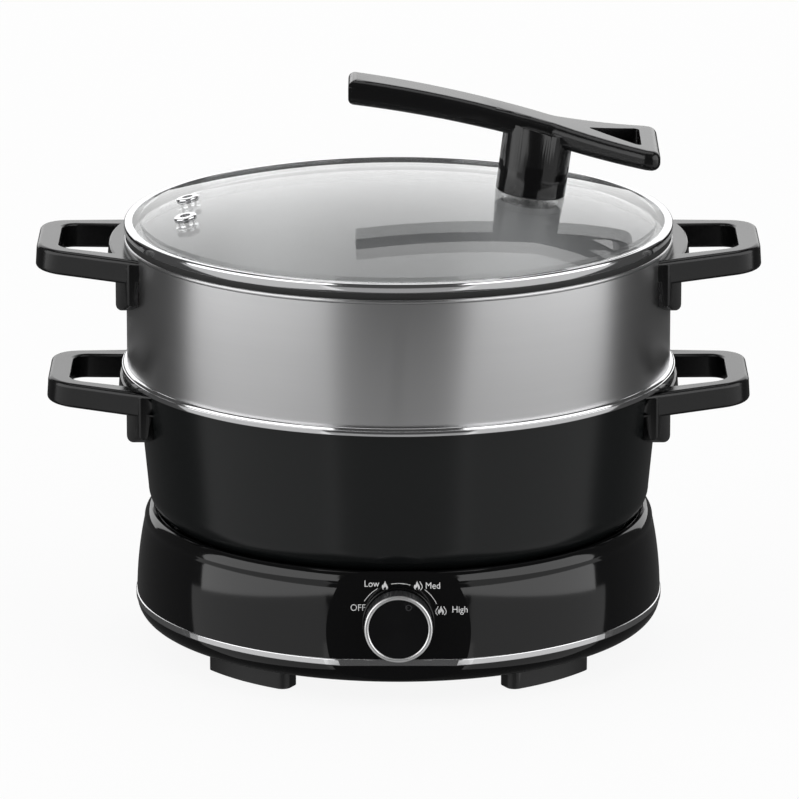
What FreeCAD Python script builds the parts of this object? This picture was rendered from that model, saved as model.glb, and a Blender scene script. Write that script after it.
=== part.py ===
"""Electric hot pot: a round heating base with a dial, a coated pot, a steel steamer tier and a glass lid.

Millimetres. +Z is up, -Y is the front with the dial, +X is to the right seen from the front.
The origin is on the axis of the vessels, on the surface that the foot pads stand on.
"""
import FreeCAD, Part
import math
import os

Vector = FreeCAD.Vector
Rotation = FreeCAD.Rotation
Placement = FreeCAD.Placement

# Heights of the stack
FOOT_HEIGHT = 12.4
PAD_PROUD = 0.6
BASE_TOP_Z = 71.2
PLATE_TOP_Z = 66.9
POT_TOP_Z = 150.5
STEAMER_TOP_Z = 216.5
LID_BAND_BOTTOM_Z = 219.6
LID_BAND_HEIGHT = 5.4
DOME_RISE = 18.5

# Base housing, whose radii all follow the pot's mouth
POT_MOUTH_RADIUS = 137.3
BASE_WALL = 2.6
BAND_RADIUS = POT_MOUTH_RADIUS + 0.6
BAND_Z = 22.6
BAND_HEIGHT = 3.6
BAND_PROUD = 0.5
BAND_DEPTH = 1.4
SIDE_RADIUS = BAND_RADIUS - 1.5
SIDE_Z = 47.9
SHOULDER_RADIUS = BAND_RADIUS - 4.3
SHOULDER_DROP = 6.9
SHOULDER_BULGE_RADIUS = BAND_RADIUS - 5.3
SHOULDER_BULGE_DROP = 2.6
LIP_OUTER_RADIUS = BAND_RADIUS - 7.7
LIP_INNER_RADIUS = LIP_OUTER_RADIUS - 1.7
FLOOR_RIM_THICK = 5.0
FLOOR_RIM_WIDTH = 11.9
COVER_THICK = 2.6
COVER_LEDGE = 8.0
COVER_GAP = 0.3
FACET_TILT = 5.0
FACET_Y = BAND_RADIUS - 6.6
FACET_Z = 50.0
BAND_FACET_PROUD = 1.5

# Guide ring in the top of the base, and the well that the pot sits in
RING_GROOVE = 0.8
RING_DROP = 0.6
RING_INNER_RADIUS = LIP_INNER_RADIUS - 3.9
RING_INNER_DROP = 1.2
WELL_RADIUS = BAND_RADIUS - 20.7
WELL_Z = 61.0
RING_BORE = WELL_RADIUS - 18.2
RING_THICK = 2.2
RING_FLANGE = 1.3
RIB_START = 47.0
RIB_SPAN = 28.0
RIB_WIDTH = 2.6
RIB_HEIGHT = 5.4

# Heating parts
PLATE_RADIUS = RING_BORE - 4.0
PLATE_THICK = 6.0
PLATE_HOLE = 13.0
ELEMENT_RADIUS = 62.0
ELEMENT_TUBE = 3.3
ELEMENT_GAP_ANGLE = 36.0
TERMINAL_RADIUS = 2.0
TERMINAL_DROP = 15.0
PAN_FLOOR_Z = 50.0
PAN_THICK = 0.8
PAN_RADIUS = PLATE_RADIUS + 1.5
PAN_FLANGE = 10.0
PAN_HOLE = 17.0
STANDOFF_CIRCLE = PLATE_RADIUS - 13.0
STANDOFF_RADIUS = 4.0
STANDOFF_COUNT = 3
SENSOR_GAP = 0.5
SENSOR_RECESS = 0.4
SENSOR_FLANGE = 3.0
SENSOR_DEPTH = 20.0
CUTOUT_RADIUS = 8.0
CUTOUT_THICK = 5.0
CUTOUT_PLACE = 38.0
FUSE_RADIUS = 2.0
FUSE_LENGTH = 14.0
FUSE_PLACE = 48.0

# Dial, its switch and shaft, in a frame that stands on the front facet
KNOB_Z = 44.8
BEZEL_RADIUS = 18.4
BEZEL_THICK = 1.5
KNOB_GAP = 0.6
KNOB_RADIUS = 17.3
KNOB_LENGTH = 13.5
KNOB_WALL = 2.8
KNOB_HOLLOW = 8.0
KNOB_HUB = 6.0
FLUTE_COUNT = 48
FLUTE_DEPTH = 0.35
TRIM_RING_THICK = 2.2
TRIM_RING_WIDTH = 2.2
FACE_RECESS = 0.8
POINTER_PLACE = 12.3
POINTER_RADIUS = 1.5
POINTER_DEPTH = 0.5
POINTER_ANGLE = 24.6
SHAFT_RADIUS = 3.0
SHAFT_BACK = 12.0
SHAFT_FIT = 0.05
SHAFT_FLAT = 0.8
BUSH_RADIUS = 4.6
BUSH_GAP = 0.2
BUSH_FRONT = 0.8
BRACKET_THICK = 1.2
BRACKET_WIDTH = 34.0
BRACKET_HEIGHT = 24.0
SWITCH_WIDTH = 26.0
SWITCH_DEPTH = 18.0
PANEL_SCREW_PLACE = 11.0
PANEL_SCREW_RADIUS = 1.5
PANEL_SCREW_HEAD = 2.6
PANEL_SCREW_HEAD_THICK = 1.0
SCREW_GAP = 0.25
CLIP_THICK = 0.6
CLIP_LENGTH = 6.0

# Power inlet at the back
INLET_Z = 38.0
INLET_WIDTH = 44.0
INLET_HEIGHT = 21.0
INLET_CORNER = 5.0
INLET_WALL = 2.4
INLET_REACH = BAND_RADIUS + 13.1
INLET_FLANGE_Y = BAND_RADIUS - 11.9
INLET_FLANGE = 4.0
INLET_FLANGE_THICK = 2.4
INLET_BACK = 6.0
INLET_FIT = 0.2
PIN_RADIUS = 1.8
PIN_SPACING = 11.0
PIN_LENGTH = 13.0
EARTH_PIN_RISE = 3.5
PIN_TAIL = 8.0

# Terminal block and leads
BLOCK_LENGTH = 26.0
BLOCK_WIDTH = 12.0
BLOCK_HEIGHT = 10.0
BLOCK_X = 48.0
BLOCK_Y = 70.0
LEAD_RADIUS = 1.3
LEAD_RISE = 9.0

# Feet
FOOT_OUTER_RADIUS = BAND_RADIUS - 17.2
FOOT_WIDTH = 14.0
FOOT_START = 28.7
FOOT_SPAN = 27.0
FOOT_CORNER = 4.5
PAD_INSET = 2.6
PAD_THICK = 2.2
COVER_SCREW_TURN = 30.0
COVER_SCREW_COUNT = 6
COVER_SCREW_RADIUS = 1.6
COVER_SCREW_HEAD = 3.0
COVER_SCREW_HEAD_THICK = 1.4
COVER_SCREW_BITE = 3.6
VENT_COUNT = 12
VENT_CIRCLE = 70.0
VENT_LENGTH = 26.0
VENT_WIDTH = 4.0
VENT_CORNER = 1.2

# Pot
POT_WALL = 3.0
POT_FLOOR = 3.5
POT_CORNER = 16.0
POT_CORNER_RADIUS = POT_MOUTH_RADIUS - 5.9
POT_DISC_RADIUS = PLATE_RADIUS + 3.0
POT_DISC_THICK = 2.0
POT_DISC_PROUD = 0.6
RIM_HEIGHT = 4.5
RIM_OUTER_RADIUS = POT_MOUTH_RADIUS + 7.35
RIM_STEP = 0.45
RIM_ROUND = 1.8

# Steamer tier
STEAMER_RADIUS = RIM_OUTER_RADIUS - 2.65
STEAMER_WALL = 1.0
BEAD_RADIUS = 1.3
BEAD_OUT = 0.9
BEAD_LAND = 0.15
SPIGOT_GAP = 0.8
SPIGOT_DEPTH = 10.0
HOLE_RADIUS = 3.5
HOLE_PITCH = 20.0
HOLE_RINGS = 6

# Side handles, the same moulding on the pot and on the steamer
HANDLE_REACH = 45.6
HANDLE_ROOT_HALF = 45.5
HANDLE_TIP_HALF = 32.0
HANDLE_THICK = 13.0
HANDLE_CORNER = 19.0
HANDLE_RISE_ANGLE = 3.6
HANDLE_EDGE = 2.4
GRIP_WEB = 9.0
GRIP_TIP = 11.5
GRIP_ROOT_HALF = 33.0
GRIP_TIP_HALF = 26.0
GRIP_CORNER = 10.0
GRIP_EDGE = 1.5
TAB_THICK = 5.6
TAB_HALF = 47.0
TAB_DROP_END = 24.0
TAB_DROP_MIDDLE = 35.0
TAB_EDGE = 1.8
POT_HANDLE_TOP_Z = 142.7
STEAMER_HANDLE_TOP_Z = 213.6
HANDLE_SCREW_RADIUS = 2.0
HANDLE_SCREW_HEAD = 3.8
HANDLE_SCREW_HEAD_THICK = 1.2
HANDLE_SCREW_SPREAD = 24.0
HANDLE_SCREW_DROP = 20.0
BRACKET_PLATE_THICK = 1.2
BRACKET_GAP = 1.6
HANDLE_SCREW_BITE = 4.2
HANDLE_SCREW_HEAD_SEAT = 0.4
BRACKET_PLATE_HALF = 34.0
BRACKET_PLATE_HEIGHT = 13.0

# Lid
LID_BAND_RADIUS = STEAMER_RADIUS + BEAD_OUT
LID_BAND_SHEET = 0.8
LID_BAND_LIP = 4.4
GLASS_THICK = 4.0
GLASS_FLANGE = 7.6
GLASS_EDGE_GAP = 0.1
GASKET_WIDTH = 2.7
GASKET_LIP_WIDTH = 2.4
GASKET_LIP_DROP = 3.2
GASKET_LIP_GAP = 0.6
VENT_PLACES = ((-110.0, 13.0), (-110.0, -27.0))
EYELET_RADIUS = 6.0
EYELET_TUBE = 4.4
EYELET_BORE = 2.8
EYELET_FLANGE = 1.4

# Lid handle, an off-centre post with a long bar that ends in an open loop
POST_X = 68.5
POST_RADIUS = 18.2
SEAM_HEIGHT = 13.0
SEAM_LOBE = 3.4
SEAM_LOBES = 4
SEAM_LOBE_ANGLE = 48.0
SEAM_TURN = -20.0
BAR_HALF = 12.5
BAR_TIP_X = -26.0
BAR_TIP_TOP_Z = 301.2
BAR_ARCH_X = 24.0
BAR_ARCH_TOP_Z = 292.3
BAR_NECK_X = 79.0
BAR_NECK_TOP_Z = 277.9
BAR_FLARE_X = 106.0
BAR_FLARE_TOP_Z = 271.5
BAR_END_X = 135.0
BAR_END_TOP_Z = 266.5
BAR_TIP_THICK = 13.8
BAR_NECK_THICK = 12.2
BAR_END_THICK = 10.4
BAR_EDGE = 4.2
LOOP_HALF = 32.6
LOOP_SHOULDER_X = 127.0
LOOP_HOLE_APEX_X = 98.0
LOOP_HOLE_END_X = 125.5
LOOP_HOLE_HALF = 21.0
LOOP_HOLE_CORNER = 2.0
LOOP_CORNER = 5.0
HANDLE_GASKET_THICK = 0.8
UNDERPLATE_RADIUS = 15.0
UNDERPLATE_THICK = 1.5
LID_SCREW_RADIUS = 2.5
LID_SCREW_HEAD = 5.0
LID_SCREW_HEAD_THICK = 2.4
LID_SCREW_BITE = 20.0

# Worked-out places
ORIGIN = Vector(0, 0, 0)
UP = Vector(0, 0, 1)
RIGHT = Vector(1, 0, 0)
BAND_TOP_Z = BAND_Z + BAND_HEIGHT
RING_TOP_Z = BASE_TOP_Z - RING_DROP
ROOF_Z = BASE_TOP_Z - BASE_WALL
RING_UNDER_Z = RING_TOP_Z - 2 * RING_THICK
RING_OUTER_RADIUS = LIP_INNER_RADIUS - RING_GROOVE
COVER_RADIUS = BAND_RADIUS - (BAND_Z - FOOT_HEIGHT) - FLOOR_RIM_WIDTH + COVER_LEDGE
COVER_SCREW_CIRCLE = COVER_RADIUS - COVER_LEDGE / 2
PLATE_BOTTOM_Z = PLATE_TOP_Z - PLATE_THICK
POT_BOTTOM_Z = PLATE_TOP_Z + POT_DISC_PROUD
POT_WALL_TOP_Z = POT_TOP_Z - RIM_HEIGHT
POT_BORE = POT_MOUTH_RADIUS - POT_WALL
SPIGOT_RADIUS = POT_BORE - SPIGOT_GAP
STEAMER_FLOOR_Z = POT_TOP_Z - SPIGOT_DEPTH
LID_BAND_TOP_Z = LID_BAND_BOTTOM_Z + LID_BAND_HEIGHT
GLASS_RADIUS = LID_BAND_RADIUS - LID_BAND_SHEET - GLASS_EDGE_GAP
GLASS_BOTTOM_Z = LID_BAND_BOTTOM_Z + LID_BAND_SHEET
FLANGE_TOP_Z = LID_BAND_TOP_Z - LID_BAND_SHEET
DOME_EDGE_RADIUS = GLASS_RADIUS - GLASS_FLANGE
DOME_TOP_Z = LID_BAND_TOP_Z + DOME_RISE
DOME_EDGE_Z = FLANGE_TOP_Z + 0.5 * GLASS_THICK
DOME_SAG = DOME_TOP_Z - DOME_EDGE_Z
DOME_SPHERE = (DOME_EDGE_RADIUS ** 2 + DOME_SAG ** 2) / (2 * DOME_SAG)
DOME_CENTRE_Z = DOME_TOP_Z - DOME_SPHERE
PANEL_FRONT = BEZEL_THICK + KNOB_GAP
KNOB_FRONT = PANEL_FRONT + KNOB_LENGTH


def point(radius, height):
    """A point of a turned section: its distance from the axis and its height."""
    return Vector(radius, 0, height)


def section(start, *steps):
    """A closed face in the XZ plane. A step of one point is a line and a step of two points is an arc."""
    edges = []
    here = point(*start)
    for step in steps + (start,):
        if isinstance(step[0], tuple):
            there = point(*step[1])
            edges.append(Part.Arc(here, point(*step[0]), there).toShape())
        else:
            there = point(*step)
            if there.distanceToPoint(here) > 1e-6:
                edges.append(Part.makeLine(here, there))
        here = there
    return Part.Face(Part.Wire(edges))


def turned(start, *steps):
    """A solid of revolution about the vertical axis."""
    return section(start, *steps).revolve(ORIGIN, UP, 360)


def turned_part(start_angle, span, start, *steps):
    """A sector of a solid of revolution, with its angle counted from the front, towards the right."""
    face = section(start, *steps)
    face.rotate(ORIGIN, UP, start_angle - 90)
    return face.revolve(ORIGIN, UP, span)


def corner_mid(centre_radius, centre_z, radius, angle):
    """The point at an angle on a round corner's circle, for an arc's middle."""
    turn = math.radians(angle)
    return (centre_radius + radius * math.cos(turn), centre_z + radius * math.sin(turn))


def rod(radius, length, place=ORIGIN, axis=UP):
    """A plain cylinder."""
    return Part.makeCylinder(radius, length, place, axis)


def slab(width, depth, height, centre_x=0.0, centre_y=0.0, bottom=0.0):
    """A block centred in plan."""
    corner = Vector(centre_x - width / 2, centre_y - depth / 2, bottom)
    return Part.makeBox(width, depth, height, corner)


def prism(corners, bottom, top):
    """An upright prism on a plan polygon."""
    points = [Vector(x, y, bottom) for x, y in corners]
    return Part.Face(Part.makePolygon(points + points[:1])).extrude(Vector(0, 0, top - bottom))


def softened(solid, radius, chosen):
    """The solid with a round of one radius on each edge that the test picks."""
    edges = [edge for edge in solid.Edges if chosen(edge)]
    return solid.makeFillet(radius, edges)


def is_upright(edge):
    """True for a straight vertical edge."""
    start, end = edge.Vertexes[0].Point, edge.Vertexes[-1].Point
    return abs(start.x - end.x) + abs(start.y - end.y) < 1e-6 and abs(start.z - end.z) > 1e-6


def level_at(height):
    """A test for edges that lie wholly at one height."""
    def test(edge):
        return abs(edge.BoundBox.ZMin - height) < 1e-5 and abs(edge.BoundBox.ZMax - height) < 1e-5
    return test


def on_panel(shape):
    """Moves a shape from the dial's frame, +Z outward and +Y up the facet, to its place on the front facet."""
    depth = FACET_Y - (KNOB_Z - FACET_Z) * math.tan(math.radians(FACET_TILT))
    shape.Placement = Placement(Vector(0, -depth, KNOB_Z), Rotation(RIGHT, 90 - FACET_TILT)).multiply(shape.Placement)
    return shape


def on_dome(shape, x, y):
    """Moves a shape from an upright frame to the dome's outer face, square to it."""
    drop = math.sqrt(DOME_SPHERE ** 2 - x * x - y * y)
    normal = Vector(x, y, drop)
    place = Vector(x, y, DOME_CENTRE_Z + drop)
    shape.Placement = Placement(place, Rotation(UP, normal)).multiply(shape.Placement)
    return shape


def around(shape, count, first=0.0):
    """Copies of a shape at even steps about the vertical axis."""
    copies = []
    for index in range(count):
        copy = shape.copy()
        copy.rotate(ORIGIN, UP, first + 360.0 * index / count)
        copies.append(copy)
    return Part.makeCompound(copies)


def front_side(proud, inset):
    """The half space in front of the facet, moved out or in along its normal."""
    size = 4 * BAND_RADIUS
    block = slab(size, size, size)
    tilt = math.radians(FACET_TILT)
    shift = proud - inset
    place = Vector(0, -FACET_Y - shift * math.cos(tilt), FACET_Z + shift * math.sin(tilt))
    block.Placement = Placement(place, Rotation(RIGHT, 90 - FACET_TILT))
    return block


def housing_form(inset):
    """The filled form of the base housing, drawn in by an even wall."""
    corner = BAND_Z - FOOT_HEIGHT
    centre = BAND_RADIUS - corner
    floor = FOOT_HEIGHT + (FLOOR_RIM_THICK if inset else 0)
    radius = corner - inset
    low = (centre, floor) if inset else (centre, FOOT_HEIGHT)
    side_start = (BAND_RADIUS - inset, BAND_Z)
    if inset:
        entry = [(BAND_RADIUS - inset, floor), side_start]
    else:
        entry = [low, (corner_mid(centre, BAND_Z, radius, -45), side_start)]
    shoulder = (SHOULDER_RADIUS - inset, BASE_TOP_Z - SHOULDER_DROP - inset / 2)
    bulge = (SHOULDER_BULGE_RADIUS - inset, BASE_TOP_Z - SHOULDER_BULGE_DROP - inset)
    crown = (LIP_OUTER_RADIUS - inset, BASE_TOP_Z - inset)
    steps = entry + [
        (BAND_RADIUS - inset, BAND_TOP_Z),
        ((SIDE_RADIUS - inset, SIDE_Z), shoulder),
        (bulge, crown),
        (0, BASE_TOP_Z - inset),
    ]
    form = turned((0, floor), *steps)
    return form.cut(front_side(0, inset))


def inlet_form(grow, start, length):
    """The rounded outline of the power inlet as a bar along the axis out of the back."""
    bar = slab(INLET_WIDTH + 2 * grow, INLET_HEIGHT + 2 * grow, length)
    bar = softened(bar, INLET_CORNER + grow, is_upright)
    bar.Placement = Placement(Vector(0, start, INLET_Z), Rotation(RIGHT, -90))
    return bar


def band_ring(inner, outer, bottom, top):
    """A plain ring with a square section."""
    return turned((inner, bottom), (outer, bottom), (outer, top), (inner, top))


def panel_screw_holes(radius, back, front):
    """Two rods for the dial switch's screws, in the dial's frame."""
    length = front - back
    return [rod(radius, length, Vector(side * PANEL_SCREW_PLACE, 0, back)) for side in (-1, 1)]


def cover_screw_rods(radius, bottom, top):
    """Rods for the bottom cover's screws."""
    one = rod(radius, top - bottom, Vector(COVER_SCREW_CIRCLE, 0, bottom))
    return around(one, COVER_SCREW_COUNT, COVER_SCREW_TURN)


def base_housing():
    """The glossy outer shell with its front facet, its top lip, and a boss behind the power inlet."""
    outer = housing_form(0)
    shell = outer.cut(housing_form(BASE_WALL))
    boss = inlet_form(INLET_FLANGE, INLET_FLANGE_Y, BAND_RADIUS).common(outer)
    shell = shell.fuse(boss)
    well = rod(LIP_INNER_RADIUS, BASE_WALL * 4, Vector(0, 0, BASE_TOP_Z - BASE_WALL * 2))
    floor_hole = rod(COVER_RADIUS - COVER_LEDGE, FLOOR_RIM_THICK + 2, Vector(0, 0, FOOT_HEIGHT - 1))
    rebate = rod(COVER_RADIUS + COVER_GAP, COVER_THICK + 1, Vector(0, 0, FOOT_HEIGHT - 1))
    band_seat = band_ring(BAND_RADIUS - BAND_DEPTH, BAND_RADIUS + BASE_WALL, BAND_Z, BAND_TOP_Z)
    band_front = front_side(BAND_FACET_PROUD - BAND_PROUD, BAND_DEPTH)
    band_front = band_front.common(band_ring(BAND_RADIUS / 2, BAND_RADIUS + BASE_WALL, BAND_Z, BAND_TOP_Z))
    shaft_hole = on_panel(rod(BUSH_RADIUS + BUSH_GAP, BASE_WALL * 3, Vector(0, 0, -BASE_WALL * 2)))
    screw_holes = [on_panel(hole) for hole in panel_screw_holes(PANEL_SCREW_RADIUS + SCREW_GAP, -BASE_WALL * 2, 1)]
    inlet_hole = inlet_form(INLET_FIT, INLET_FLANGE_Y - 1, BAND_RADIUS)
    cover_holes = cover_screw_rods(COVER_SCREW_RADIUS, FOOT_HEIGHT, FOOT_HEIGHT + COVER_THICK + COVER_SCREW_BITE)
    ring_seat = band_ring(RING_INNER_RADIUS, LIP_INNER_RADIUS + RING_FLANGE, RING_UNDER_Z, ROOF_Z)
    ring_seat = ring_seat.cut(front_side(0, BASE_WALL))
    tools = [well, floor_hole, ring_seat, rebate, band_seat, band_front, shaft_hole, inlet_hole, cover_holes] + screw_holes
    for tool in tools:
        shell = shell.cut(tool)
    return shell


def trim_band():
    """The bright metal band let into the housing, with a flat where it crosses the facet."""
    ring = band_ring(BAND_RADIUS - BAND_DEPTH, BAND_RADIUS + BAND_PROUD, BAND_Z, BAND_TOP_Z)
    flat = band_ring(BAND_RADIUS - BAND_DEPTH * 6, BAND_RADIUS + BAND_PROUD, BAND_Z, BAND_TOP_Z)
    flat = flat.common(front_side(BAND_FACET_PROUD - BAND_PROUD, BAND_DEPTH))
    return ring.fuse(flat).removeSplitter().cut(front_side(BAND_FACET_PROUD, 0))


def top_ring():
    """The inner guide ring: a rounded top edge inside the lip, a slope down to the well, and four short ribs."""
    ring = turned(
        (RING_BORE, WELL_Z - RING_THICK),
        (WELL_RADIUS + RING_THICK / 2, WELL_Z - RING_THICK),
        (RING_INNER_RADIUS, RING_UNDER_Z),
        (LIP_INNER_RADIUS + RING_FLANGE, RING_UNDER_Z),
        (LIP_INNER_RADIUS + RING_FLANGE, ROOF_Z),
        (RING_OUTER_RADIUS, ROOF_Z),
        (RING_OUTER_RADIUS, RING_TOP_Z - RING_DROP / 2),
        (RING_OUTER_RADIUS - RING_DROP / 2, RING_TOP_Z),
        (RING_INNER_RADIUS, BASE_TOP_Z - RING_INNER_DROP),
        (WELL_RADIUS, WELL_Z),
        (RING_BORE, WELL_Z),
    )
    slope = (RING_INNER_RADIUS - WELL_RADIUS) / (BASE_TOP_Z - RING_INNER_DROP - WELL_Z)
    high_radius = WELL_RADIUS + slope * RIB_HEIGHT
    for side in (0, 180):
        for start in (RIB_START, -RIB_START - RIB_SPAN):
            rib = turned_part(
                start + side, RIB_SPAN,
                (WELL_RADIUS - RIB_WIDTH, WELL_Z - RING_THICK / 2),
                (WELL_RADIUS + slope, WELL_Z - RING_THICK / 2),
                (high_radius + slope, WELL_Z + RIB_HEIGHT),
                (high_radius - RIB_WIDTH, WELL_Z + RIB_HEIGHT),
            )
            ring = ring.fuse(rib)
    return ring.removeSplitter().cut(front_side(0, BASE_WALL))


def heating_tube(radius):
    """The bent part of the heating element: most of a ring, open towards the back."""
    circle = Part.Circle(point(ELEMENT_RADIUS, PLATE_BOTTOM_Z), Vector(0, 1, 0), radius)
    face = Part.Face(Part.Wire(circle.toShape()))
    face.rotate(ORIGIN, UP, 90 + ELEMENT_GAP_ANGLE / 2)
    return face.revolve(ORIGIN, UP, 360 - ELEMENT_GAP_ANGLE)


def terminal_rods(radius, drop):
    """The element's two cold ends, which point down near the back."""
    half = math.radians(ELEMENT_GAP_ANGLE / 2)
    x, y = ELEMENT_RADIUS * math.sin(half), ELEMENT_RADIUS * math.cos(half)
    bottom = PLATE_BOTTOM_Z - drop
    return [rod(radius, drop, Vector(side * x, y, bottom)) for side in (-1, 1)]


def heating_plate():
    """The cast aluminium hot plate with the groove for the heating tube and a hole for the sensor."""
    plate = turned(
        (PLATE_HOLE, PLATE_BOTTOM_Z), (PLATE_RADIUS, PLATE_BOTTOM_Z), (PLATE_RADIUS, PLATE_TOP_Z - 1),
        (PLATE_RADIUS - 1, PLATE_TOP_Z), (PLATE_HOLE, PLATE_TOP_Z),
    )
    return plate.cut(heating_tube(ELEMENT_TUBE))


def heating_element():
    """The tubular heater with its two terminals."""
    tube = heating_tube(ELEMENT_TUBE)
    for terminal in terminal_rods(TERMINAL_RADIUS, TERMINAL_DROP):
        tube = tube.fuse(terminal)
    return tube


def reflector_pan():
    """The thin steel pan below the hot plate, which hangs from the guide ring."""
    top = WELL_Z - RING_THICK
    pan = turned(
        (PAN_HOLE, PAN_FLOOR_Z), (PAN_RADIUS + PAN_THICK, PAN_FLOOR_Z),
        (PAN_RADIUS + PAN_THICK, top - PAN_THICK), (PAN_RADIUS + PAN_FLANGE, top - PAN_THICK),
        (PAN_RADIUS + PAN_FLANGE, top), (PAN_RADIUS, top),
        (PAN_RADIUS, PAN_FLOOR_Z + PAN_THICK), (PAN_HOLE, PAN_FLOOR_Z + PAN_THICK),
    )
    for hole in terminal_rods(TERMINAL_RADIUS * 2, TERMINAL_DROP):
        pan = pan.cut(hole)
    return pan


def plate_standoffs():
    """Three posts that carry the hot plate on the pan."""
    bottom = PAN_FLOOR_Z + PAN_THICK
    one = rod(STANDOFF_RADIUS, PLATE_BOTTOM_Z - bottom, Vector(0, -STANDOFF_CIRCLE, bottom))
    return around(one, STANDOFF_COUNT)


def centre_sensor():
    """The sensor cap in the middle of the hot plate, with the flange that stops it from below."""
    radius = PLATE_HOLE - SENSOR_GAP
    top = PLATE_TOP_Z - SENSOR_RECESS
    flange_top = PLATE_BOTTOM_Z - SENSOR_GAP
    return turned(
        (0, top - SENSOR_DEPTH), (radius, top - SENSOR_DEPTH), (radius, flange_top - SENSOR_FLANGE),
        (radius + SENSOR_FLANGE, flange_top - SENSOR_FLANGE), (radius + SENSOR_FLANGE, flange_top),
        (radius, flange_top), (radius, top - 1), (radius - 1, top), (0, top),
    )


def limit_switch():
    """The snap disc switch pressed against the hot plate's underside."""
    body = rod(CUTOUT_RADIUS, CUTOUT_THICK, Vector(-CUTOUT_PLACE, 0, PLATE_BOTTOM_Z - CUTOUT_THICK))
    tags = slab(CUTOUT_RADIUS, CUTOUT_RADIUS * 3, 1, -CUTOUT_PLACE, 0, PLATE_BOTTOM_Z - CUTOUT_THICK)
    return body.fuse(tags).removeSplitter()


def thermal_fuse():
    """The one-shot fuse in its sleeve, clipped to the underside of the pan."""
    start = Vector(FUSE_PLACE, -FUSE_LENGTH / 2, PAN_FLOOR_Z - FUSE_RADIUS)
    sleeve = rod(FUSE_RADIUS, FUSE_LENGTH, start, Vector(0, 1, 0))
    clip = slab(4 * FUSE_RADIUS, FUSE_LENGTH / 3, 0.6, FUSE_PLACE + 2 * FUSE_RADIUS, 0, PAN_FLOOR_Z - 0.6)
    return sleeve.fuse(clip)


def knob_bezel():
    """The low round seat on the facet, under the dial."""
    seat = softened(rod(BEZEL_RADIUS, BEZEL_THICK), BEZEL_THICK / 3, level_at(BEZEL_THICK))
    for hole in panel_screw_holes(PANEL_SCREW_HEAD + SCREW_GAP, 0, BEZEL_THICK):
        seat = seat.cut(hole)
    return on_panel(seat.cut(rod(BUSH_RADIUS + BUSH_GAP, BEZEL_THICK)))


def switch_bracket():
    """The folded steel bracket that holds the dial switch behind the facet."""
    back = -BASE_WALL - BRACKET_THICK
    plate = slab(BRACKET_WIDTH, BRACKET_HEIGHT, BRACKET_THICK, 0, 0, back)
    for side in (-1, 1):
        centre = side * (SWITCH_WIDTH + BRACKET_THICK) / 2
        plate = plate.fuse(slab(BRACKET_THICK, BRACKET_HEIGHT, SWITCH_DEPTH / 2, centre, 0, back - SWITCH_DEPTH / 2))
    plate = plate.cut(rod(BUSH_RADIUS + BUSH_GAP, BRACKET_THICK, Vector(0, 0, back)))
    for hole in panel_screw_holes(PANEL_SCREW_RADIUS, back, -BASE_WALL):
        plate = plate.cut(hole)
    return on_panel(plate.removeSplitter())


def heat_switch():
    """The rotary heat switch: its case, its bush through the panel and the bore that the shaft runs in."""
    front = -BASE_WALL - BRACKET_THICK
    case = slab(SWITCH_WIDTH, SWITCH_WIDTH, SWITCH_DEPTH, 0, 0, front - SWITCH_DEPTH)
    case = softened(case, 2, is_upright)
    bush = rod(BUSH_RADIUS, BUSH_FRONT - front, Vector(0, 0, front))
    bore = rod(SHAFT_RADIUS + SHAFT_FIT, SHAFT_BACK + BUSH_FRONT + SHAFT_FIT, Vector(0, 0, -SHAFT_BACK - SHAFT_FIT))
    return on_panel(case.fuse(bush).removeSplitter().cut(bore))


def panel_screws():
    """The two screws under the dial that hold the switch bracket to the panel."""
    screws = []
    for side in (-1, 1):
        place = side * PANEL_SCREW_PLACE
        shank = rod(PANEL_SCREW_RADIUS, BASE_WALL + BRACKET_THICK, Vector(place, 0, -BASE_WALL - BRACKET_THICK))
        head = rod(PANEL_SCREW_HEAD, PANEL_SCREW_HEAD_THICK, Vector(place, 0, 0))
        slot = slab(0.6, PANEL_SCREW_HEAD * 2, 0.4, place, 0, PANEL_SCREW_HEAD_THICK - 0.4)
        screws.append(shank.fuse(head).removeSplitter().cut(slot))
    return on_panel(Part.makeCompound(screws))


def shaft_form(back, front):
    """The dial shaft with a flat on the side away from the pointer, in the dial's frame."""
    shaft = rod(SHAFT_RADIUS, front - back, Vector(0, 0, back))
    cut_from = PANEL_FRONT
    flat = slab(SHAFT_RADIUS * 2, SHAFT_RADIUS, front - cut_from + 1, 0, SHAFT_FLAT - 1.5 * SHAFT_RADIUS, cut_from)
    return shaft.cut(flat)


def clip_form():
    """The leaf between the hub and the shaft's flat, in the dial's frame."""
    return slab(CLIP_LENGTH, CLIP_THICK, KNOB_HOLLOW, 0, SHAFT_FLAT - SHAFT_RADIUS - CLIP_THICK / 2, PANEL_FRONT)


def knob_body():
    """The fluted dial moulding with its hollow back and its hub."""
    cup = rod(KNOB_RADIUS, KNOB_LENGTH, Vector(0, 0, PANEL_FRONT))
    flute = rod(FLUTE_DEPTH * 2, KNOB_LENGTH, Vector(KNOB_RADIUS + FLUTE_DEPTH, 0, PANEL_FRONT + 1))
    cup = cup.cut(around(flute, FLUTE_COUNT))
    cup = cup.cut(rod(KNOB_RADIUS - KNOB_WALL, KNOB_HOLLOW, Vector(0, 0, PANEL_FRONT)))
    cup = cup.fuse(rod(KNOB_HUB, KNOB_HOLLOW, Vector(0, 0, PANEL_FRONT))).removeSplitter()
    cup = cup.cut(shaft_form(0, PANEL_FRONT + KNOB_HOLLOW + 2))
    return on_panel(cup.cut(clip_form()))


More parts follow.
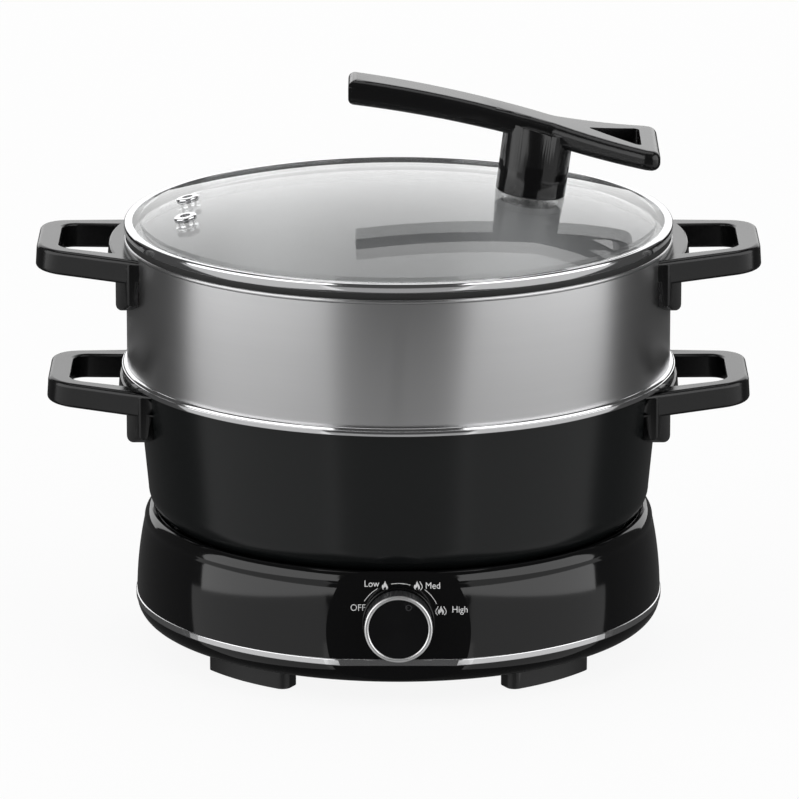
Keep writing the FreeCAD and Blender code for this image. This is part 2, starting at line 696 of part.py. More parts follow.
def knob_trim_ring():
    """The bright ring round the dial's face."""
    outer, inner = KNOB_RADIUS, KNOB_RADIUS - TRIM_RING_WIDTH
    ring = band_ring(inner, outer, KNOB_FRONT, KNOB_FRONT + TRIM_RING_THICK)
    return on_panel(softened(ring, TRIM_RING_WIDTH / 4, level_at(KNOB_FRONT + TRIM_RING_THICK)))


def knob_face_disc():
    """The dial's dark face with a round dimple that points at the chosen heat."""
    thick = TRIM_RING_THICK - FACE_RECESS
    disc = rod(KNOB_RADIUS - TRIM_RING_WIDTH, thick, Vector(0, 0, KNOB_FRONT))
    turn = math.radians(POINTER_ANGLE)
    place = Vector(POINTER_PLACE * math.sin(turn), POINTER_PLACE * math.cos(turn), KNOB_FRONT + thick - POINTER_DEPTH)
    return on_panel(disc.cut(rod(POINTER_RADIUS, POINTER_DEPTH, place)))


def dial_shaft():
    """The switch shaft that the dial is pushed on to."""
    return on_panel(shaft_form(-SHAFT_BACK, PANEL_FRONT + KNOB_HOLLOW + 2))


def knob_clip():
    """The leaf of spring steel between the hub and the shaft's flat."""
    return on_panel(clip_form())


def power_inlet():
    """The shrouded inlet socket: a hollow shroud out of the back and a flange behind the housing's boss."""
    shroud = inlet_form(0, INLET_FLANGE_Y - INLET_BACK, INLET_REACH - INLET_FLANGE_Y + INLET_BACK)
    flange = inlet_form(INLET_FLANGE, INLET_FLANGE_Y - INLET_FLANGE_THICK, INLET_FLANGE_THICK)
    body = shroud.fuse(flange).removeSplitter()
    body = body.cut(inlet_form(-INLET_WALL, INLET_FLANGE_Y, INLET_REACH - INLET_FLANGE_Y))
    for pin in inlet_pin_rods():
        body = body.cut(pin)
    return body


def inlet_pin_rods():
    """The two power pins and the earth pin between them, set a little higher."""
    start = INLET_FLANGE_Y - INLET_BACK - PIN_TAIL
    length = PIN_TAIL + INLET_BACK + PIN_LENGTH
    places = ((-PIN_SPACING, 0), (0, EARTH_PIN_RISE), (PIN_SPACING, 0))
    return [rod(PIN_RADIUS, length, Vector(x, start, INLET_Z + rise), Vector(0, 1, 0)) for x, rise in places]


def inlet_pins():
    """The inlet's three pins with their solder tails."""
    return Part.makeCompound(inlet_pin_rods())


def terminal_block():
    """The ceramic terminal block on the bottom cover, with its clamping screws' wells."""
    bottom = FOOT_HEIGHT + COVER_THICK
    block = slab(BLOCK_LENGTH, BLOCK_WIDTH, BLOCK_HEIGHT, BLOCK_X, BLOCK_Y, bottom)
    for step in (-1, 0, 1):
        place = Vector(BLOCK_X + step * BLOCK_LENGTH / 3, BLOCK_Y, bottom + BLOCK_HEIGHT / 2)
        block = block.cut(rod(BLOCK_WIDTH / 5, BLOCK_HEIGHT, place))
    return block


def lead(points):
    """An insulated wire through a few points, with a ball at each bend."""
    wire = None
    for start, end in zip(points, points[1:]):
        run = rod(LEAD_RADIUS, start.distanceToPoint(end), start, end - start)
        wire = run if wire is None else wire.fuse(run)
    for bend in points[1:-1]:
        wire = wire.fuse(Part.makeSphere(LEAD_RADIUS, bend))
    return wire


def internal_leads():
    """The leads from the inlet to the block, from the block to the dial switch, and from the block to the heater."""
    block_top = FOOT_HEIGHT + COVER_THICK + BLOCK_HEIGHT
    over = block_top + LEAD_RISE
    third = BLOCK_LENGTH / 3
    tail_y = INLET_FLANGE_Y - INLET_BACK - PIN_TAIL
    switch_y = SWITCH_DEPTH + BASE_WALL + BRACKET_THICK - FACET_Y
    supply = lead([
        Vector(PIN_SPACING, tail_y, INLET_Z),
        Vector(PIN_SPACING, tail_y - LEAD_RISE, INLET_Z),
        Vector(BLOCK_X - third, BLOCK_Y + BLOCK_WIDTH, over),
        Vector(BLOCK_X - third, BLOCK_Y, over),
        Vector(BLOCK_X - third, BLOCK_Y, block_top),
    ])
    control = lead([
        Vector(BLOCK_X, BLOCK_Y, block_top),
        Vector(BLOCK_X, BLOCK_Y, over),
        Vector(BLOCK_X, 0, over),
        Vector(SWITCH_WIDTH / 4, switch_y + LEAD_RISE, KNOB_Z - SWITCH_WIDTH / 4),
        Vector(SWITCH_WIDTH / 4, switch_y, KNOB_Z - SWITCH_WIDTH / 4),
    ])
    half = math.radians(ELEMENT_GAP_ANGLE / 2)
    end_x, end_y = ELEMENT_RADIUS * math.sin(half), ELEMENT_RADIUS * math.cos(half)
    heater = lead([
        Vector(BLOCK_X + third, BLOCK_Y, block_top),
        Vector(BLOCK_X + third, BLOCK_Y, over),
        Vector(end_x, end_y, over),
        Vector(end_x, end_y, PLATE_BOTTOM_Z - TERMINAL_DROP),
    ])
    return Part.makeCompound([supply, control, heater])


def base_bottom_cover():
    """The flat cover under the base, with radial vents and countersinks for its screws."""
    cover = turned((0, FOOT_HEIGHT), (COVER_RADIUS, FOOT_HEIGHT), (COVER_RADIUS, FOOT_HEIGHT + COVER_THICK),
                   (0, FOOT_HEIGHT + COVER_THICK))
    vent = slab(VENT_LENGTH, VENT_WIDTH, COVER_THICK, VENT_CIRCLE, 0, FOOT_HEIGHT)
    vent = softened(vent, VENT_CORNER, is_upright)
    cover = cover.cut(around(vent, VENT_COUNT))
    cover = cover.cut(cover_screw_rods(COVER_SCREW_RADIUS, FOOT_HEIGHT, FOOT_HEIGHT + COVER_THICK))
    return cover.cut(cover_screw_rods(COVER_SCREW_HEAD, FOOT_HEIGHT, FOOT_HEIGHT + COVER_SCREW_HEAD_THICK))


def cover_screws():
    """The screws that hold the bottom cover to the housing's ledge."""
    head = rod(COVER_SCREW_HEAD, COVER_SCREW_HEAD_THICK, Vector(COVER_SCREW_CIRCLE, 0, FOOT_HEIGHT))
    shank_top = FOOT_HEIGHT + COVER_THICK + COVER_SCREW_BITE
    shank = rod(COVER_SCREW_RADIUS, shank_top - FOOT_HEIGHT, Vector(COVER_SCREW_CIRCLE, 0, FOOT_HEIGHT))
    slot = slab(0.8, COVER_SCREW_HEAD * 2, 0.7, COVER_SCREW_CIRCLE, 0, FOOT_HEIGHT)
    return around(head.fuse(shank).removeSplitter().cut(slot), COVER_SCREW_COUNT, COVER_SCREW_TURN)


def foot_block(start, grow, bottom, top):
    """An arc-shaped block with round ends that follows the base's edge."""
    inner = FOOT_OUTER_RADIUS - FOOT_WIDTH + grow
    outer = FOOT_OUTER_RADIUS - grow
    trim = math.degrees(grow / FOOT_OUTER_RADIUS)
    block = turned_part(start + trim, FOOT_SPAN - 2 * trim, (inner, bottom), (outer, bottom), (outer, top), (inner, top))
    return softened(block, FOOT_CORNER - grow / 2, is_upright)


def foot(start):
    """A foot moulding with a pocket for its pad."""
    pocket = foot_block(start, PAD_INSET, PAD_PROUD, PAD_THICK)
    return foot_block(start, 0, PAD_PROUD, FOOT_HEIGHT).cut(pocket)


def foot_pad(start):
    """The rubber pad that stands on the table."""
    return foot_block(start, PAD_INSET, 0, PAD_THICK)


def pot_form(inset, floor, top):
    """The filled form of the pot, drawn in by the wall, with its own floor height."""
    radius = POT_CORNER - inset
    corner_z = POT_BOTTOM_Z + POT_CORNER
    lift = floor - POT_BOTTOM_Z - inset
    centre = POT_CORNER_RADIUS - POT_CORNER
    slope = (POT_MOUTH_RADIUS - POT_CORNER_RADIUS) / (POT_WALL_TOP_Z - corner_z)
    mouth = POT_MOUTH_RADIUS + slope * (top - POT_WALL_TOP_Z) - inset
    return turned(
        (0, floor), (centre, floor),
        (corner_mid(centre, corner_z + lift, radius, -45), (centre + radius, corner_z + lift)),
        (mouth, top), (0, top),
    )


def pot_shell():
    """The coated pot with its tapered wall, round bottom corner and the pocket for its base disc."""
    shell = pot_form(0, POT_BOTTOM_Z, POT_WALL_TOP_Z)
    shell = shell.cut(pot_form(POT_WALL, POT_BOTTOM_Z + POT_FLOOR, POT_WALL_TOP_Z + 1))
    return shell.cut(rod(POT_DISC_RADIUS, POT_DISC_THICK, Vector(0, 0, PLATE_TOP_Z)))


def pot_base_disc():
    """The flat steel disc that meets the hot plate."""
    return rod(POT_DISC_RADIUS, POT_DISC_THICK, Vector(0, 0, PLATE_TOP_Z))


def pot_rim_ring():
    """The bright rolled ring on the pot's mouth: a flat seat, a rounded edge, and a deeper band below it."""
    shoulder = RIM_OUTER_RADIUS - RIM_STEP
    mid_z = POT_TOP_Z - RIM_ROUND
    return turned(
        (POT_BORE, POT_WALL_TOP_Z), (RIM_OUTER_RADIUS, POT_WALL_TOP_Z), (RIM_OUTER_RADIUS, mid_z), (shoulder, mid_z),
        (corner_mid(shoulder - RIM_ROUND, mid_z, RIM_ROUND, 45), (shoulder - RIM_ROUND, POT_TOP_Z)),
        (POT_BORE, POT_TOP_Z),
    )


def steamer_holes():
    """The steam holes in the steamer's floor: one in the middle and rings of six, twelve and so on."""
    tools = [rod(HOLE_RADIUS, STEAMER_WALL * 3, Vector(0, 0, STEAMER_FLOOR_Z - STEAMER_WALL))]
    for ring in range(1, HOLE_RINGS):
        one = rod(HOLE_RADIUS, STEAMER_WALL * 3, Vector(ring * HOLE_PITCH, 0, STEAMER_FLOOR_Z - STEAMER_WALL))
        tools.append(around(one, 6 * ring))
    return Part.makeCompound(tools)


def steamer_shell():
    """The steel steamer: a straight wall, a shoulder that sits on the pot's ring, a spigot and a pierced floor."""
    bead_z = STEAMER_TOP_Z - BEAD_RADIUS + BEAD_LAND
    inner = STEAMER_RADIUS - STEAMER_WALL
    spigot_inner = SPIGOT_RADIUS - STEAMER_WALL
    shell = turned(
        (0, STEAMER_FLOOR_Z), (SPIGOT_RADIUS, STEAMER_FLOOR_Z), (SPIGOT_RADIUS, POT_TOP_Z), (STEAMER_RADIUS, POT_TOP_Z),
        (STEAMER_RADIUS, bead_z), (inner, bead_z), (inner, POT_TOP_Z + STEAMER_WALL),
        (spigot_inner, POT_TOP_Z + STEAMER_WALL), (spigot_inner, STEAMER_FLOOR_Z + STEAMER_WALL),
        (0, STEAMER_FLOOR_Z + STEAMER_WALL),
    )
    bead_x = STEAMER_RADIUS + BEAD_OUT - BEAD_RADIUS
    bead = Part.makeTorus(bead_x, BEAD_RADIUS, Vector(0, 0, bead_z))
    shell = shell.fuse(bead).removeSplitter()
    crown = rod(STEAMER_RADIUS * 1.2, BEAD_RADIUS, Vector(0, 0, STEAMER_TOP_Z))
    return shell.cut(crown).cut(steamer_holes())


def grip_loop(wall_radius, top_z):
    """The level part of a side handle before its mounting tab: a tapered slab with a finger opening."""
    bottom = top_z - HANDLE_THICK
    back = -HANDLE_CORNER
    spread = (HANDLE_ROOT_HALF - HANDLE_TIP_HALF) / HANDLE_REACH
    root = HANDLE_ROOT_HALF - spread * back
    tip = wall_radius + HANDLE_REACH
    plan = [(wall_radius + back, -root), (tip, -HANDLE_TIP_HALF), (tip, HANDLE_TIP_HALF), (wall_radius + back, root)]
    slab_form = prism(plan, bottom, top_z)
    slab_form = softened(slab_form, HANDLE_CORNER, lambda e: is_upright(e) and e.BoundBox.XMin > tip - 1)
    slab_form = softened(slab_form, HANDLE_EDGE,
                         lambda e: not is_upright(e) and e.BoundBox.XMax > wall_radius + back + 1)
    grip_end = tip - GRIP_TIP
    grip = prism([(wall_radius, -GRIP_ROOT_HALF), (grip_end, -GRIP_TIP_HALF), (grip_end, GRIP_TIP_HALF),
                  (wall_radius, GRIP_ROOT_HALF)], bottom - 1, top_z + 1)
    grip = grip.cut(rod(wall_radius + GRIP_WEB, 2 * HANDLE_THICK, Vector(0, 0, bottom - 2)))
    grip = softened(grip, GRIP_CORNER, lambda e: is_upright(e) and e.BoundBox.XMin > grip_end - 1)
    loop = slab_form.cut(grip)
    root_x = wall_radius + GRIP_WEB
    rims = [edge for edge in loop.Edges if not is_upright(edge) and is_grip_edge(edge, root_x, grip_end)]
    loop = loop.makeFillet(GRIP_EDGE, rims)
    loop.rotate(Vector(wall_radius, 0, top_z), Vector(0, -1, 0), HANDLE_RISE_ANGLE)
    return loop


def is_grip_edge(edge, root_x, grip_end):
    """True for an edge of the finger opening, seen in plan."""
    box = edge.BoundBox
    inside_x = box.XMax < grip_end + 0.1 and box.XMin > root_x - GRIP_ROOT_HALF / 4
    return inside_x and max(abs(box.YMin), abs(box.YMax)) < GRIP_ROOT_HALF + 0.1


def handle_tab(wall_radius, top_z):
    """The curved plate that carries a side handle on its vessel, deeper in the middle than at its ends."""
    span = 2 * math.degrees(math.asin(TAB_HALF / wall_radius))
    plate = turned_part(90 - span / 2, span, (wall_radius - GRIP_WEB, top_z - TAB_DROP_MIDDLE - 1),
                        (wall_radius + TAB_THICK, top_z - TAB_DROP_MIDDLE - 1),
                        (wall_radius + TAB_THICK, top_z - HANDLE_EDGE), (wall_radius - GRIP_WEB, top_z - HANDLE_EDGE))
    low = Part.Arc(Vector(0, -TAB_HALF - 1, top_z - TAB_DROP_END), Vector(0, 0, top_z - TAB_DROP_MIDDLE),
                   Vector(0, TAB_HALF + 1, top_z - TAB_DROP_END)).toShape()
    left = Vector(0, -TAB_HALF - 1, top_z)
    right = Vector(0, TAB_HALF + 1, top_z)
    sides = [Part.makeLine(low.Vertexes[-1].Point, right), Part.makeLine(right, left),
             Part.makeLine(left, low.Vertexes[0].Point)]
    outline = Part.Face(Part.Wire([low] + sides)).extrude(Vector(2 * wall_radius, 0, 0))
    plate = plate.common(outline)
    far = wall_radius + TAB_THICK
    return softened(plate, TAB_EDGE, lambda e: is_tab_rim(e, far, top_z))


def is_tab_rim(edge, far, top_z):
    """True for the outer edges of the tab, away from its top."""
    ends = [vertex.Point for vertex in edge.Vertexes]
    on_outside = all(abs(math.hypot(p.x, p.y) - far) < 1e-3 for p in ends)
    return on_outside and edge.BoundBox.ZMin < top_z - HANDLE_THICK


def placed_on_side(shape, side):
    """The shape on the right as it is, or turned half way round to the left."""
    if side < 0:
        shape.rotate(ORIGIN, UP, 180)
    return shape


def handle_screw_rods(wall_radius, top_z, radius, outward, side):
    """Rods for a handle's two screws, which come from inside the vessel, square to its wall."""
    rods = []
    for turn in (-1, 1):
        angle = turn * math.degrees(HANDLE_SCREW_SPREAD / wall_radius)
        start = Vector(wall_radius - 4 * BRACKET_PLATE_THICK, 0, top_z - HANDLE_SCREW_DROP)
        one = rod(radius, 4 * BRACKET_PLATE_THICK + outward, start, RIGHT)
        one.rotate(ORIGIN, UP, angle)
        rods.append(placed_on_side(one, side))
    return rods


def vessel_form(name):
    """The filled outside of the pot or of the steamer, to fit what sits on it."""
    if name == "pot":
        return pot_form(0, POT_BOTTOM_Z, POT_WALL_TOP_Z).fuse(pot_rim_seat())
    return rod(STEAMER_RADIUS, STEAMER_TOP_Z - POT_TOP_Z, Vector(0, 0, POT_TOP_Z))


def pot_rim_seat():
    """The space of the pot's rim ring."""
    return rod(RIM_OUTER_RADIUS, RIM_HEIGHT + 1, Vector(0, 0, POT_WALL_TOP_Z))


def wall_radius_at(name, height):
    """The outer radius of a vessel's wall at a height."""
    if name == "steamer":
        return STEAMER_RADIUS
    corner_z = POT_BOTTOM_Z + POT_CORNER
    slope = (POT_MOUTH_RADIUS - POT_CORNER_RADIUS) / (POT_WALL_TOP_Z - corner_z)
    return POT_MOUTH_RADIUS + slope * (height - POT_WALL_TOP_Z)


def handle_bracket(name, top_z, side):
    """The steel plate inside the handle's root, bent to the vessel's wall, with its two threaded holes."""
    radius = wall_radius_at(name, top_z - HANDLE_SCREW_DROP)
    low = top_z - HANDLE_SCREW_DROP - BRACKET_PLATE_HEIGHT / 2
    span = 2 * math.degrees(BRACKET_PLATE_HALF / radius)
    inner = radius + BRACKET_GAP
    plate = turned_part(90 - span / 2, span, (inner, low), (inner + BRACKET_PLATE_THICK, low),
                        (inner + BRACKET_PLATE_THICK, low + BRACKET_PLATE_HEIGHT), (inner, low + BRACKET_PLATE_HEIGHT))
    for hole in handle_screw_rods(radius, top_z, HANDLE_SCREW_RADIUS, TAB_THICK, 1):
        plate = plate.cut(hole)
    return placed_on_side(plate, side)


def bracket_space(name, top_z):
    """The space that a handle's bracket fills, without its holes."""
    radius = wall_radius_at(name, top_z - HANDLE_SCREW_DROP)
    low = top_z - HANDLE_SCREW_DROP - BRACKET_PLATE_HEIGHT / 2
    span = 2 * math.degrees(BRACKET_PLATE_HALF / radius)
    inner = radius + BRACKET_GAP
    return turned_part(90 - span / 2, span, (inner, low), (inner + BRACKET_PLATE_THICK, low),
                       (inner + BRACKET_PLATE_THICK, low + BRACKET_PLATE_HEIGHT), (inner, low + BRACKET_PLATE_HEIGHT))


def finished_handle(name, top_z, side):
    """A side handle with the space for its bracket cut out of its root."""
    radius = wall_radius_at(name, top_z)
    screw_radius = wall_radius_at(name, top_z - HANDLE_SCREW_DROP)
    handle = grip_loop(radius, top_z).fuse(handle_tab(radius, top_z))
    handle = handle.cut(vessel_form(name)).cut(bracket_space(name, top_z))
    for hole in handle_screw_rods(screw_radius, top_z, HANDLE_SCREW_RADIUS, HANDLE_SCREW_BITE, 1):
        handle = handle.cut(hole)
    handle = max(handle.Solids, key=lambda solid: solid.Volume)
    return placed_on_side(handle, side)


def handle_screws(name, top_z, wall):
    """The four screws of a vessel's two handles, with their heads inside the wall."""
    radius = wall_radius_at(name, top_z - HANDLE_SCREW_DROP)
    screws = []
    for side in (1, -1):
        for turn in (-1, 1):
            angle = turn * math.degrees(HANDLE_SCREW_SPREAD / radius)
            seat = radius - wall
            height = top_z - HANDLE_SCREW_DROP
            shank = rod(HANDLE_SCREW_RADIUS, wall + HANDLE_SCREW_BITE, Vector(seat, 0, height), RIGHT)
            head = rod(HANDLE_SCREW_HEAD, HANDLE_SCREW_HEAD_THICK, Vector(seat - HANDLE_SCREW_HEAD_SEAT, 0, height),
                       Vector(-1, 0, 0))
            neck = rod(HANDLE_SCREW_RADIUS, HANDLE_SCREW_HEAD_SEAT, Vector(seat, 0, height), Vector(-1, 0, 0))
            screw = shank.fuse([head, neck]).removeSplitter()
            screw.rotate(ORIGIN, UP, angle)
            screws.append(placed_on_side(screw, side))
    return Part.makeCompound(screws)


def with_screw_holes(shell, name, top_z, wall):
    """A vessel's shell with the holes for its handle screws."""
    radius = wall_radius_at(name, top_z - HANDLE_SCREW_DROP)
    for side in (1, -1):
        for turn in (-1, 1):
            hole = rod(HANDLE_SCREW_RADIUS, 3 * wall, Vector(radius - 2 * wall, 0, top_z - HANDLE_SCREW_DROP), RIGHT)
            hole.rotate(ORIGIN, UP, turn * math.degrees(HANDLE_SCREW_SPREAD / radius))
            shell = shell.cut(placed_on_side(hole, side))
    return shell


def lid_glass():
    """The domed glass with its flat flange and the holes for the vents and for the handle's screw."""
    inner = DOME_SPHERE - GLASS_THICK
    edge = DOME_EDGE_RADIUS - GLASS_THICK / 4
    outer_mid = DOME_CENTRE_Z + math.sqrt(DOME_SPHERE ** 2 - DOME_EDGE_RADIUS ** 2 / 4)
    inner_edge_z = DOME_CENTRE_Z + math.sqrt(inner ** 2 - edge ** 2)
    inner_mid = DOME_CENTRE_Z + math.sqrt(inner ** 2 - edge ** 2 / 4)
    glass = turned(
        (0, DOME_TOP_Z - GLASS_THICK), ((edge / 2, inner_mid), (edge, inner_edge_z)), (edge, GLASS_BOTTOM_Z),
        (GLASS_RADIUS, GLASS_BOTTOM_Z), (GLASS_RADIUS, FLANGE_TOP_Z), (DOME_EDGE_RADIUS, FLANGE_TOP_Z),
        (DOME_EDGE_RADIUS, DOME_EDGE_Z), ((DOME_EDGE_RADIUS / 2, outer_mid), (0, DOME_TOP_Z)),
    )
    for x, y in VENT_PLACES:
        glass = glass.cut(on_dome(rod(EYELET_TUBE, 4 * GLASS_THICK, Vector(0, 0, -2 * GLASS_THICK)), x, y))
    return glass.cut(on_dome(rod(LID_SCREW_RADIUS, 4 * GLASS_THICK, Vector(0, 0, -2 * GLASS_THICK)), POST_X, 0))


def lid_rim_band():
    """The rolled steel band that wraps the glass's edge, with a rounded top corner."""
    low, high = LID_BAND_BOTTOM_Z, LID_BAND_TOP_Z
    lip = LID_BAND_RADIUS - LID_BAND_LIP
    inside = LID_BAND_RADIUS - LID_BAND_SHEET
    turn = 2 * LID_BAND_SHEET
    return turned(
        (lip, low), (LID_BAND_RADIUS, low), (LID_BAND_RADIUS, high - turn),
        (corner_mid(LID_BAND_RADIUS - turn, high - turn, turn, 45), (LID_BAND_RADIUS - turn, high)),
        (lip, high), (lip, high - LID_BAND_SHEET), (inside, high - LID_BAND_SHEET),
        (inside, low + LID_BAND_SHEET), (lip, low + LID_BAND_SHEET),
    )


def lid_gasket():
    """The dark silicone ring under the band, with the lip that centres the lid in the steamer's mouth."""
    seat_outer = STEAMER_RADIUS + BEAD_OUT - BEAD_RADIUS + GASKET_WIDTH / 4
    lip_outer = STEAMER_RADIUS + BEAD_OUT - 2 * BEAD_RADIUS - GASKET_LIP_GAP
    lip_inner = lip_outer - GASKET_LIP_WIDTH
    return turned(
        (lip_inner, STEAMER_TOP_Z - GASKET_LIP_DROP), (lip_outer, STEAMER_TOP_Z - GASKET_LIP_DROP),
        (lip_outer, STEAMER_TOP_Z), (seat_outer, STEAMER_TOP_Z), (seat_outer, LID_BAND_BOTTOM_Z),
        (lip_inner, LID_BAND_BOTTOM_Z),
    )


def vent_eyelet(x, y):
    """A chromed steam eyelet: a tube through the glass with a rolled flange on each side."""
    low, high = -GLASS_THICK - EYELET_FLANGE, EYELET_FLANGE
    tube = rod(EYELET_TUBE, high - low, Vector(0, 0, low))
    upper = rod(EYELET_RADIUS, 2 * EYELET_FLANGE, Vector(0, 0, -EYELET_FLANGE))
    upper = softened(upper, EYELET_FLANGE * 0.6, level_at(EYELET_FLANGE))
    lower = rod(EYELET_RADIUS, 2 * EYELET_FLANGE, Vector(0, 0, low))
    body = on_dome(tube.fuse([upper, lower]).removeSplitter().cut(rod(EYELET_BORE, 40, Vector(0, 0, -20))), x, y)
    pane = lid_glass_form().cut(on_dome(rod(EYELET_TUBE, 40, Vector(0, 0, -20)), x, y))
    return body.cut(pane)


def lid_glass_form():
    """The space between the dome's two faces, as two whole spheres bound it."""
    centre = Vector(0, 0, DOME_CENTRE_Z)
    outer = Part.makeSphere(DOME_SPHERE, centre)
    return outer.cut(Part.makeSphere(DOME_SPHERE - GLASS_THICK, centre)).common(
        rod(DOME_EDGE_RADIUS, DOME_RISE * 2, Vector(0, 0, DOME_TOP_Z - DOME_RISE * 1.5)))


def dome_ball(grow):
    """The filled sphere of the dome's outer face."""
    return Part.makeSphere(DOME_SPHERE + grow, Vector(0, 0, DOME_CENTRE_Z))


def lobe_ring(bottom, top):
    """The raised parts of the wavy seam between the two handle mouldings, as sectors."""
    lobes = []
    for index in range(SEAM_LOBES):
        lobe = Part.makeCylinder(POST_RADIUS, top - bottom, Vector(0, 0, bottom), UP, SEAM_LOBE_ANGLE)
        lobe.rotate(ORIGIN, UP, SEAM_TURN + 360.0 * index / SEAM_LOBES)
        lobes.append(lobe)
    return lobes


def lid_handle_base():
    """The glossy collar at the foot of the post, with a castellated top edge."""
    collar = rod(POST_RADIUS, SEAM_HEIGHT + HANDLE_GASKET_THICK * 4, Vector(0, 0, -HANDLE_GASKET_THICK * 4))
    collar = collar.fuse(lobe_ring(SEAM_HEIGHT, SEAM_HEIGHT + SEAM_LOBE)).removeSplitter()
    collar = collar.cut(rod(LID_SCREW_RADIUS, 60, Vector(0, 0, -30)))
    return on_dome(collar, POST_X, 0).cut(dome_ball(HANDLE_GASKET_THICK))


def handle_gasket():
    """The thin silicone disc between the collar and the glass."""
    disc = rod(POST_RADIUS - HANDLE_GASKET_THICK, 8 * HANDLE_GASKET_THICK, Vector(0, 0, -4 * HANDLE_GASKET_THICK))
    disc = on_dome(disc.cut(rod(LID_SCREW_RADIUS, 60, Vector(0, 0, -30))), POST_X, 0)
    return disc.common(dome_ball(HANDLE_GASKET_THICK)).cut(dome_ball(0))


def handle_underplate():
    """The steel plate below the glass that takes the handle screw's load."""
    plate = rod(UNDERPLATE_RADIUS, UNDERPLATE_THICK + 1, Vector(0, 0, -GLASS_THICK - UNDERPLATE_THICK))
    plate = on_dome(plate.cut(rod(LID_SCREW_RADIUS, 60, Vector(0, 0, -30))), POST_X, 0)
    return plate.common(dome_ball(-GLASS_THICK))


def lid_screw():
    """The screw from below that clamps the handle to the glass."""
    low = -GLASS_THICK - UNDERPLATE_THICK
    head = rod(LID_SCREW_HEAD, LID_SCREW_HEAD_THICK, Vector(0, 0, low - LID_SCREW_HEAD_THICK))
    shank = rod(LID_SCREW_RADIUS, LID_SCREW_BITE - low, Vector(0, 0, low))
    slot = slab(1.0, LID_SCREW_HEAD * 2, 1.0, 0, 0, low - LID_SCREW_HEAD_THICK)
    return on_dome(head.fuse(shank).removeSplitter().cut(slot), POST_X, 0)


def bar_side():
    """The side view of the handle's bar: two gentle arcs above and two below."""
    neck_low = BAR_NECK_TOP_Z - BAR_NECK_THICK
    tip_low = BAR_TIP_TOP_Z - BAR_TIP_THICK
    arch_low = BAR_ARCH_TOP_Z - (BAR_TIP_THICK + BAR_NECK_THICK) / 2
    flare_low = BAR_FLARE_TOP_Z - (BAR_NECK_THICK + BAR_END_THICK) / 2
    return section(
        (BAR_TIP_X, tip_low), ((BAR_ARCH_X, arch_low), (BAR_NECK_X, neck_low)),
        ((BAR_FLARE_X, flare_low), (BAR_END_X, BAR_END_TOP_Z - BAR_END_THICK)), (BAR_END_X, BAR_END_TOP_Z),
        ((BAR_FLARE_X, BAR_FLARE_TOP_Z), (BAR_NECK_X, BAR_NECK_TOP_Z)),
        ((BAR_ARCH_X, BAR_ARCH_TOP_Z), (BAR_TIP_X, BAR_TIP_TOP_Z)),
    )


def lid_handle():
    """The upper handle moulding: the long arched bar, its open loop, and the post down to the wavy seam."""
    low, high = DOME_TOP_Z - DOME_RISE, BAR_TIP_TOP_Z + BAR_TIP_THICK
    side = bar_side()
    side.translate(Vector(0, -LOOP_HALF - 1, 0))
    bar = side.extrude(Vector(0, 2 * LOOP_HALF + 2, 0))
    plan = [(BAR_TIP_X - 1, -BAR_HALF), (BAR_NECK_X, -BAR_HALF), (LOOP_SHOULDER_X, -LOOP_HALF),
            (BAR_END_X, -LOOP_HALF), (BAR_END_X, LOOP_HALF), (LOOP_SHOULDER_X, LOOP_HALF),
            (BAR_NECK_X, BAR_HALF), (BAR_TIP_X - 1, BAR_HALF)]
    top_view = softened(prism(plan, low, high), LOOP_CORNER, lambda e: is_upright(e) and e.BoundBox.XMin > BAR_TIP_X)
    bar = bar.common(top_view)
    bar = softened(bar, BAR_EDGE, is_bar_edge)
    hole = prism([(LOOP_HOLE_APEX_X, 0), (LOOP_HOLE_END_X, -LOOP_HOLE_HALF), (LOOP_HOLE_END_X, LOOP_HOLE_HALF)], low, high)
    bar = bar.cut(softened(hole, LOOP_HOLE_CORNER, is_upright))
    height = BAR_NECK_TOP_Z - DOME_TOP_Z + BAR_NECK_THICK
    post = rod(POST_RADIUS, height, Vector(0, 0, SEAM_HEIGHT))
    post = post.cut(Part.makeCompound(lobe_ring(SEAM_HEIGHT, SEAM_HEIGHT + SEAM_LOBE)))
    post = on_dome(post, POST_X, 0)
    under = bar_under()
    post = post.cut(under)
    bar = bar.fuse(post).removeSplitter()
    return bar.cut(on_dome(rod(LID_SCREW_RADIUS, LID_SCREW_BITE + 30, Vector(0, 0, -30)), POST_X, 0))


def bar_under():
    """All the space above the middle of the bar's thickness, to trim the post's top inside the bar."""
    drop = BAR_NECK_THICK / 2
    top = BAR_TIP_TOP_Z + BAR_TIP_THICK
    face = section(
        (BAR_TIP_X, BAR_TIP_TOP_Z - drop), ((BAR_ARCH_X, BAR_ARCH_TOP_Z - drop), (BAR_NECK_X, BAR_NECK_TOP_Z - drop)),
        ((BAR_FLARE_X, BAR_FLARE_TOP_Z - drop), (BAR_END_X, BAR_END_TOP_Z - drop)), (BAR_END_X, top), (BAR_TIP_X, top),
    )
    face.translate(Vector(0, -LOOP_HALF, 0))
    return face.extrude(Vector(0, 2 * LOOP_HALF, 0))


def is_bar_edge(edge):
    """True for the long edges of the bar and those round its two ends."""
    box = edge.BoundBox
    across = box.YMax - box.YMin
    along = box.XMax - box.XMin
    return along > BAR_EDGE or across > BAR_EDGE


def save(name, shape):
    """Writes one named sub-part."""
    shape.exportStep(os.path.join("parts", name + ".step"))
    print(name, "solids", len(shape.Solids), "volume", round(shape.Volume / 1000, 3), "cm3")


